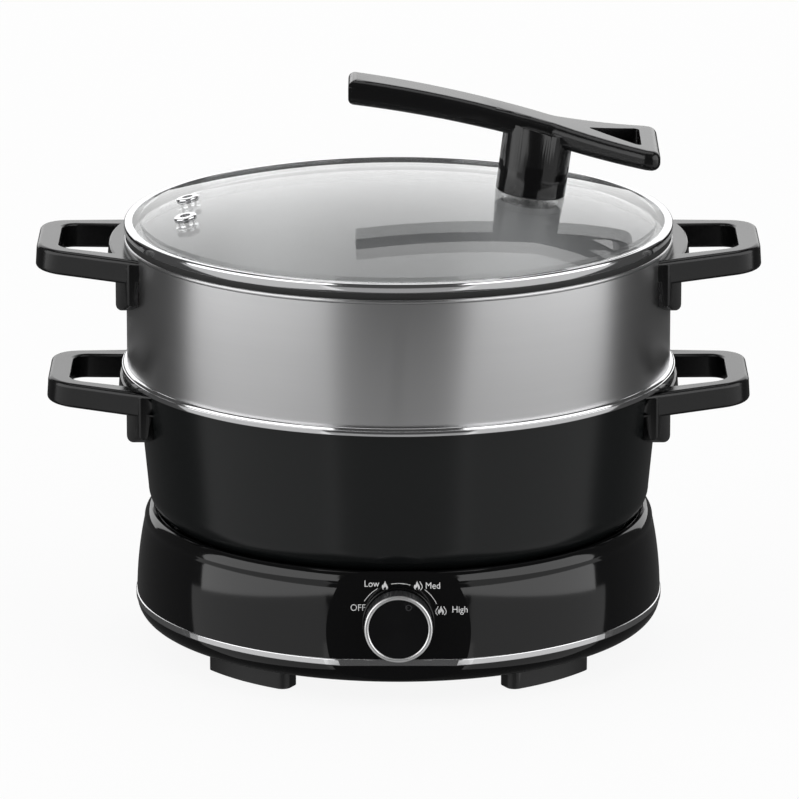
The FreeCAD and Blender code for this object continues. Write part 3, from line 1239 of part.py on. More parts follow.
def build_base():
    """Writes every piece of the heating base."""
    save("base_housing", base_housing())
    save("trim_band", trim_band())
    save("top_ring", top_ring())
    save("heating_plate", heating_plate())
    save("heating_element", heating_element())
    save("reflector_pan", reflector_pan())
    save("plate_standoffs", plate_standoffs())
    save("centre_sensor", centre_sensor())
    save("limit_switch", limit_switch())
    save("thermal_fuse", thermal_fuse())
    save("knob_bezel", knob_bezel())
    save("switch_bracket", switch_bracket())
    save("heat_switch", heat_switch())
    save("panel_screws", panel_screws())
    save("power_inlet", power_inlet())
    save("inlet_pins", inlet_pins())
    save("terminal_block", terminal_block())
    save("internal_leads", internal_leads())
    save("base_bottom_cover", base_bottom_cover())
    save("cover_screws", cover_screws())
    places = {
        "front_right": FOOT_START,
        "front_left": -FOOT_START - FOOT_SPAN,
        "rear_left": 180 + FOOT_START,
        "rear_right": 180 - FOOT_START - FOOT_SPAN,
    }
    for name, start in places.items():
        save("foot_" + name, foot(start))
        save("foot_pad_" + name, foot_pad(start))


def build_dial():
    """Writes the pieces that turn with the dial."""
    save("knob_body", knob_body())
    save("knob_trim_ring", knob_trim_ring())
    save("knob_face_disc", knob_face_disc())
    save("dial_shaft", dial_shaft())
    save("knob_clip", knob_clip())


def build_pot():
    """Writes the pot with its ring, disc and handles."""
    save("pot_shell", with_screw_holes(pot_shell(), "pot", POT_HANDLE_TOP_Z, POT_WALL))
    save("pot_rim_ring", pot_rim_ring())
    save("pot_base_disc", pot_base_disc())
    save("pot_handle_screws", handle_screws("pot", POT_HANDLE_TOP_Z, POT_WALL))
    for word, side in (("right", 1), ("left", -1)):
        save("pot_handle_" + word, finished_handle("pot", POT_HANDLE_TOP_Z, side))
        save("pot_handle_bracket_" + word, handle_bracket("pot", POT_HANDLE_TOP_Z, side))


def build_steamer():
    """Writes the steamer tier with its handles."""
    save("steamer_shell", with_screw_holes(steamer_shell(), "steamer", STEAMER_HANDLE_TOP_Z, STEAMER_WALL))
    save("steamer_handle_screws", handle_screws("steamer", STEAMER_HANDLE_TOP_Z, STEAMER_WALL))
    for word, side in (("right", 1), ("left", -1)):
        save("steamer_handle_" + word, finished_handle("steamer", STEAMER_HANDLE_TOP_Z, side))
        save("steamer_handle_bracket_" + word, handle_bracket("steamer", STEAMER_HANDLE_TOP_Z, side))


def build_lid():
    """Writes the lid and its handle."""
    save("lid_glass", lid_glass())
    save("lid_rim_band", lid_rim_band())
    save("lid_gasket", lid_gasket())
    for word, place in zip(("rear", "front"), VENT_PLACES):
        save("vent_eyelet_" + word, vent_eyelet(*place))
    save("lid_handle_base", lid_handle_base())
    save("handle_gasket", handle_gasket())
    save("handle_underplate", handle_underplate())
    save("lid_screw", lid_screw())
    save("lid_handle", lid_handle())


os.makedirs("parts", exist_ok=True)
build_base()
build_dial()
build_pot()
build_steamer()
build_lid()
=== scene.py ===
"""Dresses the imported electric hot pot: base with a dial, coated pot, steel steamer tier and domed glass lid.

Sizes are written in millimetres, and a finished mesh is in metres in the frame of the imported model.
"""
import logging
import math
from dataclasses import dataclass, replace
from enum import Enum
from typing import Any, Iterable, Optional, Sequence, Union

import bmesh
import bpy
from mathutils import Matrix, Quaternion, Vector


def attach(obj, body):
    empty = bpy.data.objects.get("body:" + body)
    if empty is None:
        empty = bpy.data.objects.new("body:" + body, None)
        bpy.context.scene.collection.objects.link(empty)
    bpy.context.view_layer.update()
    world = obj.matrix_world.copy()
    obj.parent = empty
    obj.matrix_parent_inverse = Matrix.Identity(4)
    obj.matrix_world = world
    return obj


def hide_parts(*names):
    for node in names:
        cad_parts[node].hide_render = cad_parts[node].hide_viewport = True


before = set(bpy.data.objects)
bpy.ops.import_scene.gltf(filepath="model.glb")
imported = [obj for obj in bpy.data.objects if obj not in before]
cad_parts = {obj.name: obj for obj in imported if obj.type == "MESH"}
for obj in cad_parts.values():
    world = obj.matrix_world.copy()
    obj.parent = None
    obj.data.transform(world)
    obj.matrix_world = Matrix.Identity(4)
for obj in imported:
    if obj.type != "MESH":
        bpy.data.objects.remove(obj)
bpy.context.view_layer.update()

MM = 0.001
LOG = logging.getLogger("hot_pot")
WHITE = (1.0, 1.0, 1.0)
Colour = tuple[float, float, float]
Pair = tuple[float, float]
Point = tuple[float, float, float]


class Grain(Enum):
    """How a metal was worked: not at all, brushed round the wall, or spun about an axis."""

    NONE = "none"
    LEVEL = "level"
    SPUN = "spun"


class Wire:
    """A socket in a node tree, on which Python's operators add Math nodes."""

    def __init__(self, graph: "Graph", socket: bpy.types.NodeSocket) -> None:
        """Keep the tree and the output socket."""
        self.graph = graph
        self.socket = socket

    def math(self, operation: str, *others: Union["Wire", float], flipped: bool = False) -> "Wire":
        """Add a Math node on this socket.

        Args:
            operation: The Math node's operation.
            others: The second and third operands.
            flipped: True when this socket is the second operand.

        Returns:
            The node's result.
        """
        values = [self, *others]
        if flipped:
            values.reverse()
        return self.graph.add("ShaderNodeMath", {"operation": operation}, dict(enumerate(values)))

    def __add__(self, other: Union["Wire", float]) -> "Wire":
        """Add."""
        return self.math("ADD", other)

    def __sub__(self, other: Union["Wire", float]) -> "Wire":
        """Subtract."""
        return self.math("SUBTRACT", other)

    def __rsub__(self, other: float) -> "Wire":
        """Subtract this socket from a number."""
        return self.math("SUBTRACT", other, flipped=True)

    def __mul__(self, other: Union["Wire", float]) -> "Wire":
        """Multiply."""
        return self.math("MULTIPLY", other)

    def __truediv__(self, other: Union["Wire", float]) -> "Wire":
        """Divide."""
        return self.math("DIVIDE", other)

    def __pow__(self, other: Union["Wire", float]) -> "Wire":
        """Raise to a power."""
        return self.math("POWER", other)

    __radd__ = __add__
    __rmul__ = __mul__


class Graph:
    """A shader or geometry node tree under construction."""

    def __init__(self, tree: bpy.types.NodeTree) -> None:
        """Keep the tree."""
        self.tree = tree

    @classmethod
    def of(cls, owner: Union[bpy.types.Material, bpy.types.World]) -> "Graph":
        """Open a material's or a world's tree, emptied."""
        owner.use_nodes = True
        owner.node_tree.nodes.clear()
        return cls(owner.node_tree)

    def add(self, kind: str, settings: Optional[dict[str, Any]] = None,
            sockets: Optional[dict[Union[int, str], Any]] = None, output: Union[int, str] = 0) -> Wire:
        """Add one node, with its settings before its sockets.

        Args:
            kind: The node's type.
            settings: Properties of the node.
            sockets: Values or wires by the input's name or number.
            output: The output that is returned.

        Returns:
            The wire of that output.
        """
        node = self.tree.nodes.new(kind)
        for name, value in (settings or {}).items():
            setattr(node, name, value)
        for name, value in (sockets or {}).items():
            target = node.inputs[name]
            if isinstance(value, Wire):
                self.tree.links.new(value.socket, target)
            elif isinstance(value, list):
                for wire in value:
                    self.tree.links.new(wire.socket, target)
            else:
                target.default_value = value
        return Wire(self, node.outputs[output] if node.outputs else None)

    def vector(self, **parts: Union[Wire, float]) -> Wire:
        """Join numbers or wires into a vector by the names of its axes."""
        return self.add("ShaderNodeCombineXYZ", None, parts)

    def blend(self, share: Union[Wire, float], low: Any, high: Any) -> Wire:
        """Mix two colours by a share."""
        return self.add("ShaderNodeMix", {"data_type": "RGBA"}, {0: share, 6: low, 7: high}, 2)

    def noise(self, place: Wire, scale: float, detail: float = 2.0) -> Wire:
        """Give the value of a noise texture at a place."""
        return self.add("ShaderNodeTexNoise", None, {"Vector": place, "Scale": scale, "Detail": detail})

    def stretched(self, place: Wire, scale: Sequence[float]) -> Wire:
        """Scale a place along its three axes."""
        return self.add("ShaderNodeMapping", None, {"Vector": place, "Scale": tuple(scale)})

    def bump(self, height: Wire, strength: float, depth: float) -> Wire:
        """Turn a height into a bumped normal."""
        return self.add("ShaderNodeBump", None, {"Strength": strength, "Distance": depth, "Height": height})


def rgba(colour: Colour) -> tuple[float, float, float, float]:
    """Give a colour its alpha."""
    return (*colour, 1.0)


@dataclass(frozen=True)
class Finish:
    """One finish of the object, made into a material once."""

    name: str

    def material(self) -> bpy.types.Material:
        """Give the material, building it the first time."""
        found = bpy.data.materials.get("finish_" + self.name)
        if found:
            return found
        made = bpy.data.materials.new("finish_" + self.name)
        graph = Graph.of(made)
        place = graph.add("ShaderNodeTexCoord", None, None, "Object")
        graph.add("ShaderNodeOutputMaterial", None, {"Surface": self.surface(graph, place)})
        return made

    def surface(self, graph: Graph, place: Wire) -> Wire:
        """Build the shader on an object's own coordinates."""
        raise NotImplementedError


@dataclass(frozen=True)
class Moulded(Finish):
    """Moulded plastic, rubber, ceramic or a coating: a fine grain, soft mottling and an uneven gloss."""

    colour: Colour
    gloss: float
    gloss_spread: float = 0.05
    mottle: float = 0.3
    grain_mm: float = 0.5
    relief: float = 0.05
    lighter: float = 1.6
    fleck: float = 0.0
    specular: float = 0.5

    MOTTLE_SCALE = 22.0
    FLECK_SCALE = 900.0
    FLECK_REACH = 0.12
    FLECK_COLOUR = (0.2, 0.2, 0.2)
    BUMP_DEPTH = 0.00002

    def surface(self, graph: Graph, place: Wire) -> Wire:
        """Build the plastic.

        Args:
            graph: The tree to build in.
            place: The object's coordinates.

        Returns:
            The shader.
        """
        broad = graph.noise(place, self.MOTTLE_SCALE, 3.0)
        fine = graph.noise(place, 1.0 / (self.grain_mm * MM))
        lighter = tuple(min(1.0, part * self.lighter + 0.001) for part in self.colour)
        colour = graph.blend(broad * self.mottle, rgba(self.colour), rgba(lighter))
        if self.fleck:
            specks = graph.add("ShaderNodeTexVoronoi", None, {"Vector": place, "Scale": self.FLECK_SCALE})
            share = (self.FLECK_REACH - specks).math("MAXIMUM", 0.0) * (8.0 * self.fleck)
            colour = graph.blend(share, colour, rgba(self.FLECK_COLOUR))
        gloss = (broad - 0.5) * self.gloss_spread + (fine - 0.5) * (self.gloss_spread * 0.7) + self.gloss
        return graph.add("ShaderNodeBsdfPrincipled", None, {
            "Base Color": colour, "Roughness": gloss, "Specular IOR Level": self.specular,
            "Normal": graph.bump(fine, self.relief, self.BUMP_DEPTH)})


@dataclass(frozen=True)
class Metal(Finish):
    """Bright metal with its working marks, faint smudges and an uneven gloss."""

    colour: Colour
    gloss: float
    grain: Grain = Grain.NONE
    relief: float = 0.08
    shade: float = 0.12
    centre: Point = (0.0, 0.0, 0.0)
    axis: Point = (0.0, 0.0, 1.0)
    pitch_mm: float = 0.35
    metallic: float = 1.0
    stretch: float = 0.0

    SMUDGE_SCALE = 14.0
    SPECKLE_SCALE = 1600.0
    LINE_SCALE = (6.0, 6.0, 1500.0)
    WIDE_LINE_SCALE = (3.0, 3.0, 260.0)
    BUMP_DEPTH = 0.00003

    def surface(self, graph: Graph, place: Wire) -> Wire:
        """Build the metal.

        Args:
            graph: The tree to build in.
            place: The object's coordinates.

        Returns:
            The shader.
        """
        broad = graph.noise(place, self.SMUDGE_SCALE, 3.0)
        fine = graph.noise(place, self.SPECKLE_SCALE)
        if self.grain is Grain.LEVEL:
            lines = graph.noise(graph.stretched(place, self.LINE_SCALE), 1.0, 3.0)
            wide = graph.noise(graph.stretched(place, self.WIDE_LINE_SCALE), 1.0)
            fine = lines * 0.7 + wide * 0.3
        elif self.grain is Grain.SPUN:
            arm = graph.add("ShaderNodeVectorMath", {"operation": "SUBTRACT"}, {0: place, 1: self.centre})
            across = graph.add("ShaderNodeVectorMath", {"operation": "CROSS_PRODUCT"}, {0: arm, 1: self.axis})
            reach = graph.add("ShaderNodeVectorMath", {"operation": "LENGTH"}, {0: across}, "Value")
            turns = (reach * (2.0 * math.pi / (self.pitch_mm * MM))).math("SINE")
            fine = turns * 0.5 + 0.5
        dark = tuple(part * (1.0 - 2.0 * self.shade) for part in self.colour)
        colour = graph.blend(fine * 0.6 + broad * 0.4, rgba(dark), rgba(self.colour))
        gloss = (broad - 0.5) * 0.05 + (fine - 0.5) * 0.06 + self.gloss
        return graph.add("ShaderNodeBsdfPrincipled", None, {
            "Base Color": colour, "Metallic": self.metallic, "Roughness": gloss,
            "Anisotropic": self.stretch, "Anisotropic Rotation": 0.25,
            "Normal": graph.bump(fine, self.relief, self.BUMP_DEPTH)})


@dataclass(frozen=True)
class Glass(Finish):
    """Clear toughened glass that mirrors more at a low angle, with a faint haze."""

    haze: float = 0.02
    smear: float = 0.05
    gloss: float = 0.025
    mirrored: float = 0.04
    tint: Colour = (0.95, 0.955, 0.955)
    film: Colour = (0.82, 0.84, 0.84)

    def surface(self, graph: Graph, place: Wire) -> Wire:
        """Build the glass.

        Args:
            graph: The tree to build in.
            place: The object's coordinates.

        Returns:
            The shader.
        """
        clear = graph.add("ShaderNodeBsdfTransparent", None, {"Color": rgba(self.tint)})
        smear = graph.noise(place, 9.0, 4.0)
        film = graph.add("ShaderNodeBsdfDiffuse", None, {"Color": rgba(self.film)})
        body = graph.add("ShaderNodeMixShader", None, {0: smear * self.smear + self.haze, 1: clear, 2: film})
        mirror = graph.add("ShaderNodeBsdfGlossy", None, {"Color": rgba(WHITE), "Roughness": self.gloss})
        facing = graph.add("ShaderNodeLayerWeight", None, {"Blend": 0.5}, "Facing")
        share = facing ** 5.0 * (1.0 - self.mirrored) + self.mirrored
        return graph.add("ShaderNodeMixShader", None, {0: share, 1: body, 2: mirror})


HOUSING = Moulded("gloss_black_housing", (0.0022, 0.0022, 0.0024), gloss=0.07, gloss_spread=0.02,
                  grain_mm=0.9, relief=0.012)
GRIP = Moulded("satin_black_grip", (0.0032, 0.0032, 0.0034), gloss=0.2, grain_mm=0.45)
HANDLE = replace(GRIP, name="lid_handle_black")
COLLAR = replace(HOUSING, name="gloss_collar", gloss=0.06, relief=0.01)
KNOB = Moulded("dial_grip_grey", (0.028, 0.028, 0.03), gloss=0.3, grain_mm=0.35, relief=0.06)
INNER_PLASTIC = Moulded("heatproof_dark_plastic", (0.006, 0.006, 0.0062), gloss=0.38, gloss_spread=0.06,
                        relief=0.08)
COATING = Moulded("non_stick_coating", (0.0034, 0.0040, 0.0041), gloss=0.22, gloss_spread=0.03, mottle=0.35,
                  grain_mm=0.3, relief=0.04, fleck=0.05, specular=0.36)
RUBBER = Moulded("dark_rubber", (0.014, 0.014, 0.014), gloss=0.6, gloss_spread=0.08, mottle=0.4,
                 grain_mm=0.4, relief=0.12)
CERAMIC = Moulded("white_ceramic", (0.72, 0.70, 0.66), gloss=0.45, gloss_spread=0.1, grain_mm=0.6,
                  relief=0.1, lighter=1.15)
SLEEVE = Moulded("lead_sleeve", (0.55, 0.10, 0.06), gloss=0.45, gloss_spread=0.08, grain_mm=0.6, relief=0.08)
PRINT = Moulded("dial_print", (0.80, 0.80, 0.80), gloss=0.5, mottle=0.2, grain_mm=0.2, relief=0.03, lighter=1.1)
STEEL = Metal("brushed_steel", (0.60, 0.60, 0.605), gloss=0.32, grain=Grain.LEVEL, relief=0.04, shade=0.04,
              stretch=0.7)
INNER_STEEL = Metal("spun_steel_disc", (0.60, 0.60, 0.60), gloss=0.3, grain=Grain.SPUN, relief=0.06,
                    shade=0.08, pitch_mm=1.2)
RIM = Metal("polished_rim", (0.80, 0.80, 0.81), gloss=0.09, grain=Grain.LEVEL, relief=0.01, shade=0.03)
TRIM = Metal("silver_trim", (0.86, 0.86, 0.87), gloss=0.13, grain=Grain.LEVEL, relief=0.01, shade=0.03)
CHROME = Metal("chrome", (0.84, 0.84, 0.85), gloss=0.06, relief=0.01, shade=0.03)
CAST = Metal("cast_aluminium", (0.45, 0.45, 0.46), gloss=0.42, grain=Grain.SPUN, relief=0.12, shade=0.1,
             pitch_mm=0.9)
HEATER = Metal("heater_tube_steel", (0.36, 0.33, 0.30), gloss=0.4, relief=0.1, shade=0.2)
SCREW = Metal("screw_steel", (0.58, 0.58, 0.58), gloss=0.27, relief=0.05, shade=0.1)
BRASS = Metal("brass_pin", (0.75, 0.58, 0.28), gloss=0.22, relief=0.04, shade=0.08)
GLASS = Glass("lid_glass")


class Panel:
    """The dial's frame on the tilted facet: x to the right, y up the facet and z out of it."""

    ORIGIN = (0.0, -131.755, 44.8)
    TILT = math.radians(5.0)

    @classmethod
    def normal(cls) -> Vector:
        """Give the facet's outward direction."""
        return Vector((0.0, -math.cos(cls.TILT), math.sin(cls.TILT)))

    @classmethod
    def matrix(cls) -> Matrix:
        """Give the move from the panel's millimetres to the frame's millimetres."""
        up = Vector((0.0, math.sin(cls.TILT), math.cos(cls.TILT)))
        turn = Matrix((Vector((1.0, 0.0, 0.0)), up, cls.normal())).transposed()
        return Matrix.Translation(cls.ORIGIN) @ turn.to_4x4()

    @classmethod
    def seat(cls, mesh: bpy.types.Mesh, spot: Point = (0.0, 0.0, 0.0)) -> None:
        """Move a mesh in metres from a spot on the panel, in millimetres, to its place."""
        to_frame = Matrix.Scale(MM, 4) @ cls.matrix()
        mesh.transform(to_frame @ Matrix.Translation(spot) @ Matrix.Scale(1 / MM, 4))


class Shape:
    """Mesh tools that the sub-assemblies share."""

    @staticmethod
    def written(name: str, work: bmesh.types.BMesh) -> bpy.types.Mesh:
        """Write a mesh under construction to a new mesh and free it."""
        mesh = bpy.data.meshes.new(name)
        work.to_mesh(mesh)
        work.free()
        return mesh

    @staticmethod
    def joined(name: str, meshes: Iterable[bpy.types.Mesh]) -> bpy.types.Mesh:
        """Join meshes into one and remove them."""
        work = bmesh.new()
        for mesh in list(meshes):
            work.from_mesh(mesh)
            bpy.data.meshes.remove(mesh)
        return Shape.written(name, work)

    @staticmethod
    def arc(start: Pair, middle: Pair, end: Pair, steps: int) -> list[Pair]:
        """Give points on the circle through three points.

        Args:
            start: The first point, which is left out of the result.
            middle: A point on the arc.
            end: The last point.
            steps: How many points to give.

        Returns:
            The points after the first, with the last one.
        """
        (ax, ay), (bx, by), (cx, cy) = start, middle, end
        det = 2.0 * (ax * (by - cy) + bx * (cy - ay) + cx * (ay - by))
        if abs(det) < 1e-9:
            return [end]
        sa, sb, sc = ax * ax + ay * ay, bx * bx + by * by, cx * cx + cy * cy
        ux = (sa * (by - cy) + sb * (cy - ay) + sc * (ay - by)) / det
        uy = (sa * (cx - bx) + sb * (ax - cx) + sc * (bx - ax)) / det
        angles = [math.atan2(y - uy, x - ux) for x, y in (start, middle, end)]
        for index in (1, 2):
            while angles[index] - angles[index - 1] > math.pi:
                angles[index] -= 2.0 * math.pi
            while angles[index] - angles[index - 1] < -math.pi:
                angles[index] += 2.0 * math.pi
        radius = math.hypot(ax - ux, ay - uy)
        sweep = [angles[0] + (angles[2] - angles[0]) * step / steps for step in range(1, steps + 1)]
        return [(ux + radius * math.cos(a), uy + radius * math.sin(a)) for a in sweep[:-1]] + [end]

    @staticmethod
    def profile(start: Pair, *steps: Sequence[Any]) -> list[Pair]:
        """Give a section's points; a step is a point, or a middle, an end and a count for an arc."""
        points = [start]
        for step in steps:
            if isinstance(step[0], tuple):
                points += Shape.arc(points[-1], step[0], step[1], step[2])
            else:
                points.append((step[0], step[1]))
        return points

    @staticmethod
    def eased(points: list[Pair], radius: float, angle: float = 40.0) -> list[Pair]:
        """Round the sharp corners of a closed section that stand off the axis.

        Args:
            points: The section's corners.
            radius: The wanted radius of each rounding.
            angle: The least turn that counts as a corner, in degrees.

        Returns:
            The section with its corners rounded in three steps.
        """
        result: list[Pair] = []
        count = len(points)
        for index, here in enumerate(points):
            back, ahead = Vector(points[index - 1]), Vector(points[(index + 1) % count])
            centre = Vector(here)
            one, two = back - centre, ahead - centre
            turn = 180.0 - math.degrees(one.angle(two, math.pi))
            if turn < angle or here[0] < 0.01:
                result.append(here)
                continue
            reach = min(radius, one.length * 0.4, two.length * 0.4)
            first, last = centre + one.normalized() * reach, centre + two.normalized() * reach
            for step in range(4):
                share = step / 3.0
                spot = first * (1 - share) ** 2 + centre * (2 * share * (1 - share)) + last * share ** 2
                result.append((spot.x, spot.y))
        return result

    @staticmethod
    def turned(name: str, points: Sequence[Pair], count: int = 288) -> bpy.types.Mesh:
        """Turn a closed section about the vertical axis.

        Args:
            name: The mesh's name.
            points: Radius and height of the section's points, in millimetres.
            count: The number of steps round the axis.

        Returns:
            A closed mesh in metres with its faces outwards.
        """
        work = bmesh.new()
        rings: list[list[bmesh.types.BMVert]] = []
        for radius, height in points:
            if radius < 1e-4:
                rings.append([work.verts.new((0.0, 0.0, height * MM))])
                continue
            reach = radius * MM
            turn = [2.0 * math.pi * step / count for step in range(count)]
            rings.append([work.verts.new((reach * math.cos(angle), reach * math.sin(angle), height * MM))
                          for angle in turn])
        for low, high in zip(rings, rings[1:] + rings[:1]):
            for step in range(count):
                ahead = (step + 1) % count
                if len(low) == 1 and len(high) == 1:
                    break
                if len(low) == 1:
                    work.faces.new((low[0], high[ahead], high[step]))
                elif len(high) == 1:
                    work.faces.new((low[step], low[ahead], high[0]))
                else:
                    work.faces.new((low[step], low[ahead], high[ahead], high[step]))
        bmesh.ops.recalc_face_normals(work, faces=work.faces)
        return Shape.written(name, work)

    @staticmethod
    def smoothed(mesh: bpy.types.Mesh, angle: float = 32.0) -> None:
        """Shade a mesh smooth, with the edges over an angle left sharp."""
        mesh.polygons.foreach_set("use_smooth", [True] * len(mesh.polygons))
        mesh.set_sharp_from_angle(angle=math.radians(angle))
        mesh.update()

    @staticmethod
    def baked(thing: bpy.types.Object) -> bpy.types.Mesh:
        """Apply an object's modifiers to a new plain mesh and clear them."""
        bpy.context.view_layer.update()
        graph = bpy.context.evaluated_depsgraph_get()
        mesh = bpy.data.meshes.new_from_object(thing.evaluated_get(graph), preserve_all_data_layers=True,
                                               depsgraph=graph)
        thing.modifiers.clear()
        return mesh

    @staticmethod
    def placed(name: str, mesh: bpy.types.Mesh) -> bpy.types.Object:
        """Make an object of a mesh at the origin."""
        thing = bpy.data.objects.new(name, mesh)
        bpy.context.scene.collection.objects.link(thing)
        return thing

    @staticmethod
    def solid_from_outline(name: str, outline: Sequence[Pair], thick: float) -> bpy.types.Mesh:
        """Make a thin closed solid of a flat outline in the panel's millimetres."""
        work = bmesh.new()
        low = [work.verts.new((x, y, 0.0)) for x, y in outline]
        high = [work.verts.new((x, y, thick)) for x, y in outline]
        work.faces.new(list(reversed(low)))
        work.faces.new(high)
        for index in range(len(outline)):
            ahead = (index + 1) % len(outline)
            work.faces.new((low[index], low[ahead], high[ahead], high[index]))
        bmesh.ops.recalc_face_normals(work, faces=work.faces)
        bmesh.ops.triangulate(work, faces=[face for face in work.faces if len(face.verts) > 4])
        return Shape.written(name, work)

    @staticmethod
    def recast(node: str, angle: float = 30.0, bevel: float = 0.0) -> bpy.types.Mesh:
        """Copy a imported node, merge its loose triangles and shade it by its faces' areas.

        Args:
            node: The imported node.
            angle: The least angle of a sharp edge, in degrees.
            bevel: The width of the rounding on the sharp edges, in millimetres.

        Returns:
            The new mesh.
        """
        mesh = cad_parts[node].data.copy()
        work = bmesh.new()
        work.from_mesh(mesh)
        bmesh.ops.remove_doubles(work, verts=work.verts, dist=2e-6)
        bmesh.ops.dissolve_degenerate(work, edges=work.edges, dist=1e-7)
        if bevel:
            bmesh.ops.dissolve_limit(work, angle_limit=math.radians(0.2), verts=work.verts, edges=work.edges)
        work.to_mesh(mesh)
        work.free()
        mesh.materials.clear()
        Shape.smoothed(mesh, angle)
        custom = mesh.attributes.get("custom_normal")
        if custom:
            mesh.attributes.remove(custom)
        holder = Shape.placed("holder_" + node, mesh)
        if bevel:
            round_off = holder.modifiers.new("round", "BEVEL")
            round_off.width = bevel * MM
            round_off.segments = 2
            round_off.limit_method = "ANGLE"
            round_off.angle_limit = math.radians(40.0)
            round_off.harden_normals = False
        even = holder.modifiers.new("even", "WEIGHTED_NORMAL")
        even.keep_sharp = True
        even.weight = 80
        result = Shape.baked(holder)
        bpy.data.objects.remove(holder)
        return result


class Rule:
    """A geometry node tree with named inputs, run once and turned into a plain mesh."""

    def __init__(self, name: str, sizes: dict[str, float]) -> None:
        """Open the tree with one named input for each size."""
        self.tree = bpy.data.node_groups.new(name, "GeometryNodeTree")
        self.sizes = sizes
        self.graph = Graph(self.tree)
        for size, value in sizes.items():
            kind = "NodeSocketInt" if isinstance(value, int) else "NodeSocketFloat"
            self.tree.interface.new_socket(size, in_out="INPUT", socket_type=kind)
        self.tree.interface.new_socket("Mesh", in_out="OUTPUT", socket_type="NodeSocketGeometry")
        self.entry = self.tree.nodes.new("NodeGroupInput")

    def size(self, name: str) -> Wire:
        """Give the wire of a named input."""
        return Wire(self.graph, self.entry.outputs[name])

    def finish(self, shape: Wire, finish: Finish) -> bpy.types.Mesh:
        """Close the tree, run it and give the plain mesh.

        Args:
            shape: The geometry that the rule ends in.
            finish: The finish that Set Material gives it.

        Returns:
            The realised mesh.
        """
        real = self.graph.add("GeometryNodeRealizeInstances", None, {0: shape})
        painted = self.graph.add("GeometryNodeSetMaterial", None, {
            "Geometry": real, "Material": finish.material()})
        self.graph.add("NodeGroupOutput", None, {0: painted})
        holder = Shape.placed("holder_" + self.tree.name, bpy.data.meshes.new("empty"))
        modifier = holder.modifiers.new("rule", "NODES")
        modifier.node_group = self.tree
        for item in self.tree.interface.items_tree:
            if item.item_type == "SOCKET" and item.in_out == "INPUT":
                modifier[item.identifier] = self.sizes[item.name]
        mesh = Shape.baked(holder)
        bpy.data.objects.remove(holder)
        return mesh


def dressed(name: str, mesh: bpy.types.Mesh, finish: Finish, body: str, slot: str,
            *nodes: str) -> bpy.types.Object:
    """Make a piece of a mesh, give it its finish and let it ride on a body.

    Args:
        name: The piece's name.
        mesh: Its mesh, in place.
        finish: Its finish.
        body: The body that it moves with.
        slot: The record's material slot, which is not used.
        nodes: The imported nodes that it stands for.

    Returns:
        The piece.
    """
    piece = Shape.placed(name, mesh)
    mesh.name = name
    mesh.materials.clear()
    mesh.materials.append(finish.material())
    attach(piece, body)
    if nodes:
        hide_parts(*nodes)
    LOG.info("%s: %d faces, %s", name, len(mesh.polygons), finish.name)
    return piece


def recast(node: str, finish: Finish, body: str, slot: str, angle: float = 30.0, bevel: float = 0.0) -> None:
    """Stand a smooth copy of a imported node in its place."""
    dressed(node + "_skin", Shape.recast(node, angle, bevel), finish, body, slot, node)


def repaint(finish: Finish, *nodes: str) -> None:
    """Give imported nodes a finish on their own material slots."""
    for node in nodes:
        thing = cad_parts[node]
        for slot in thing.material_slots:
            slot.material = finish.material()
        if not thing.material_slots:
            thing.data.materials.append(finish.material())
        LOG.info("%s: %s", node, finish.name)


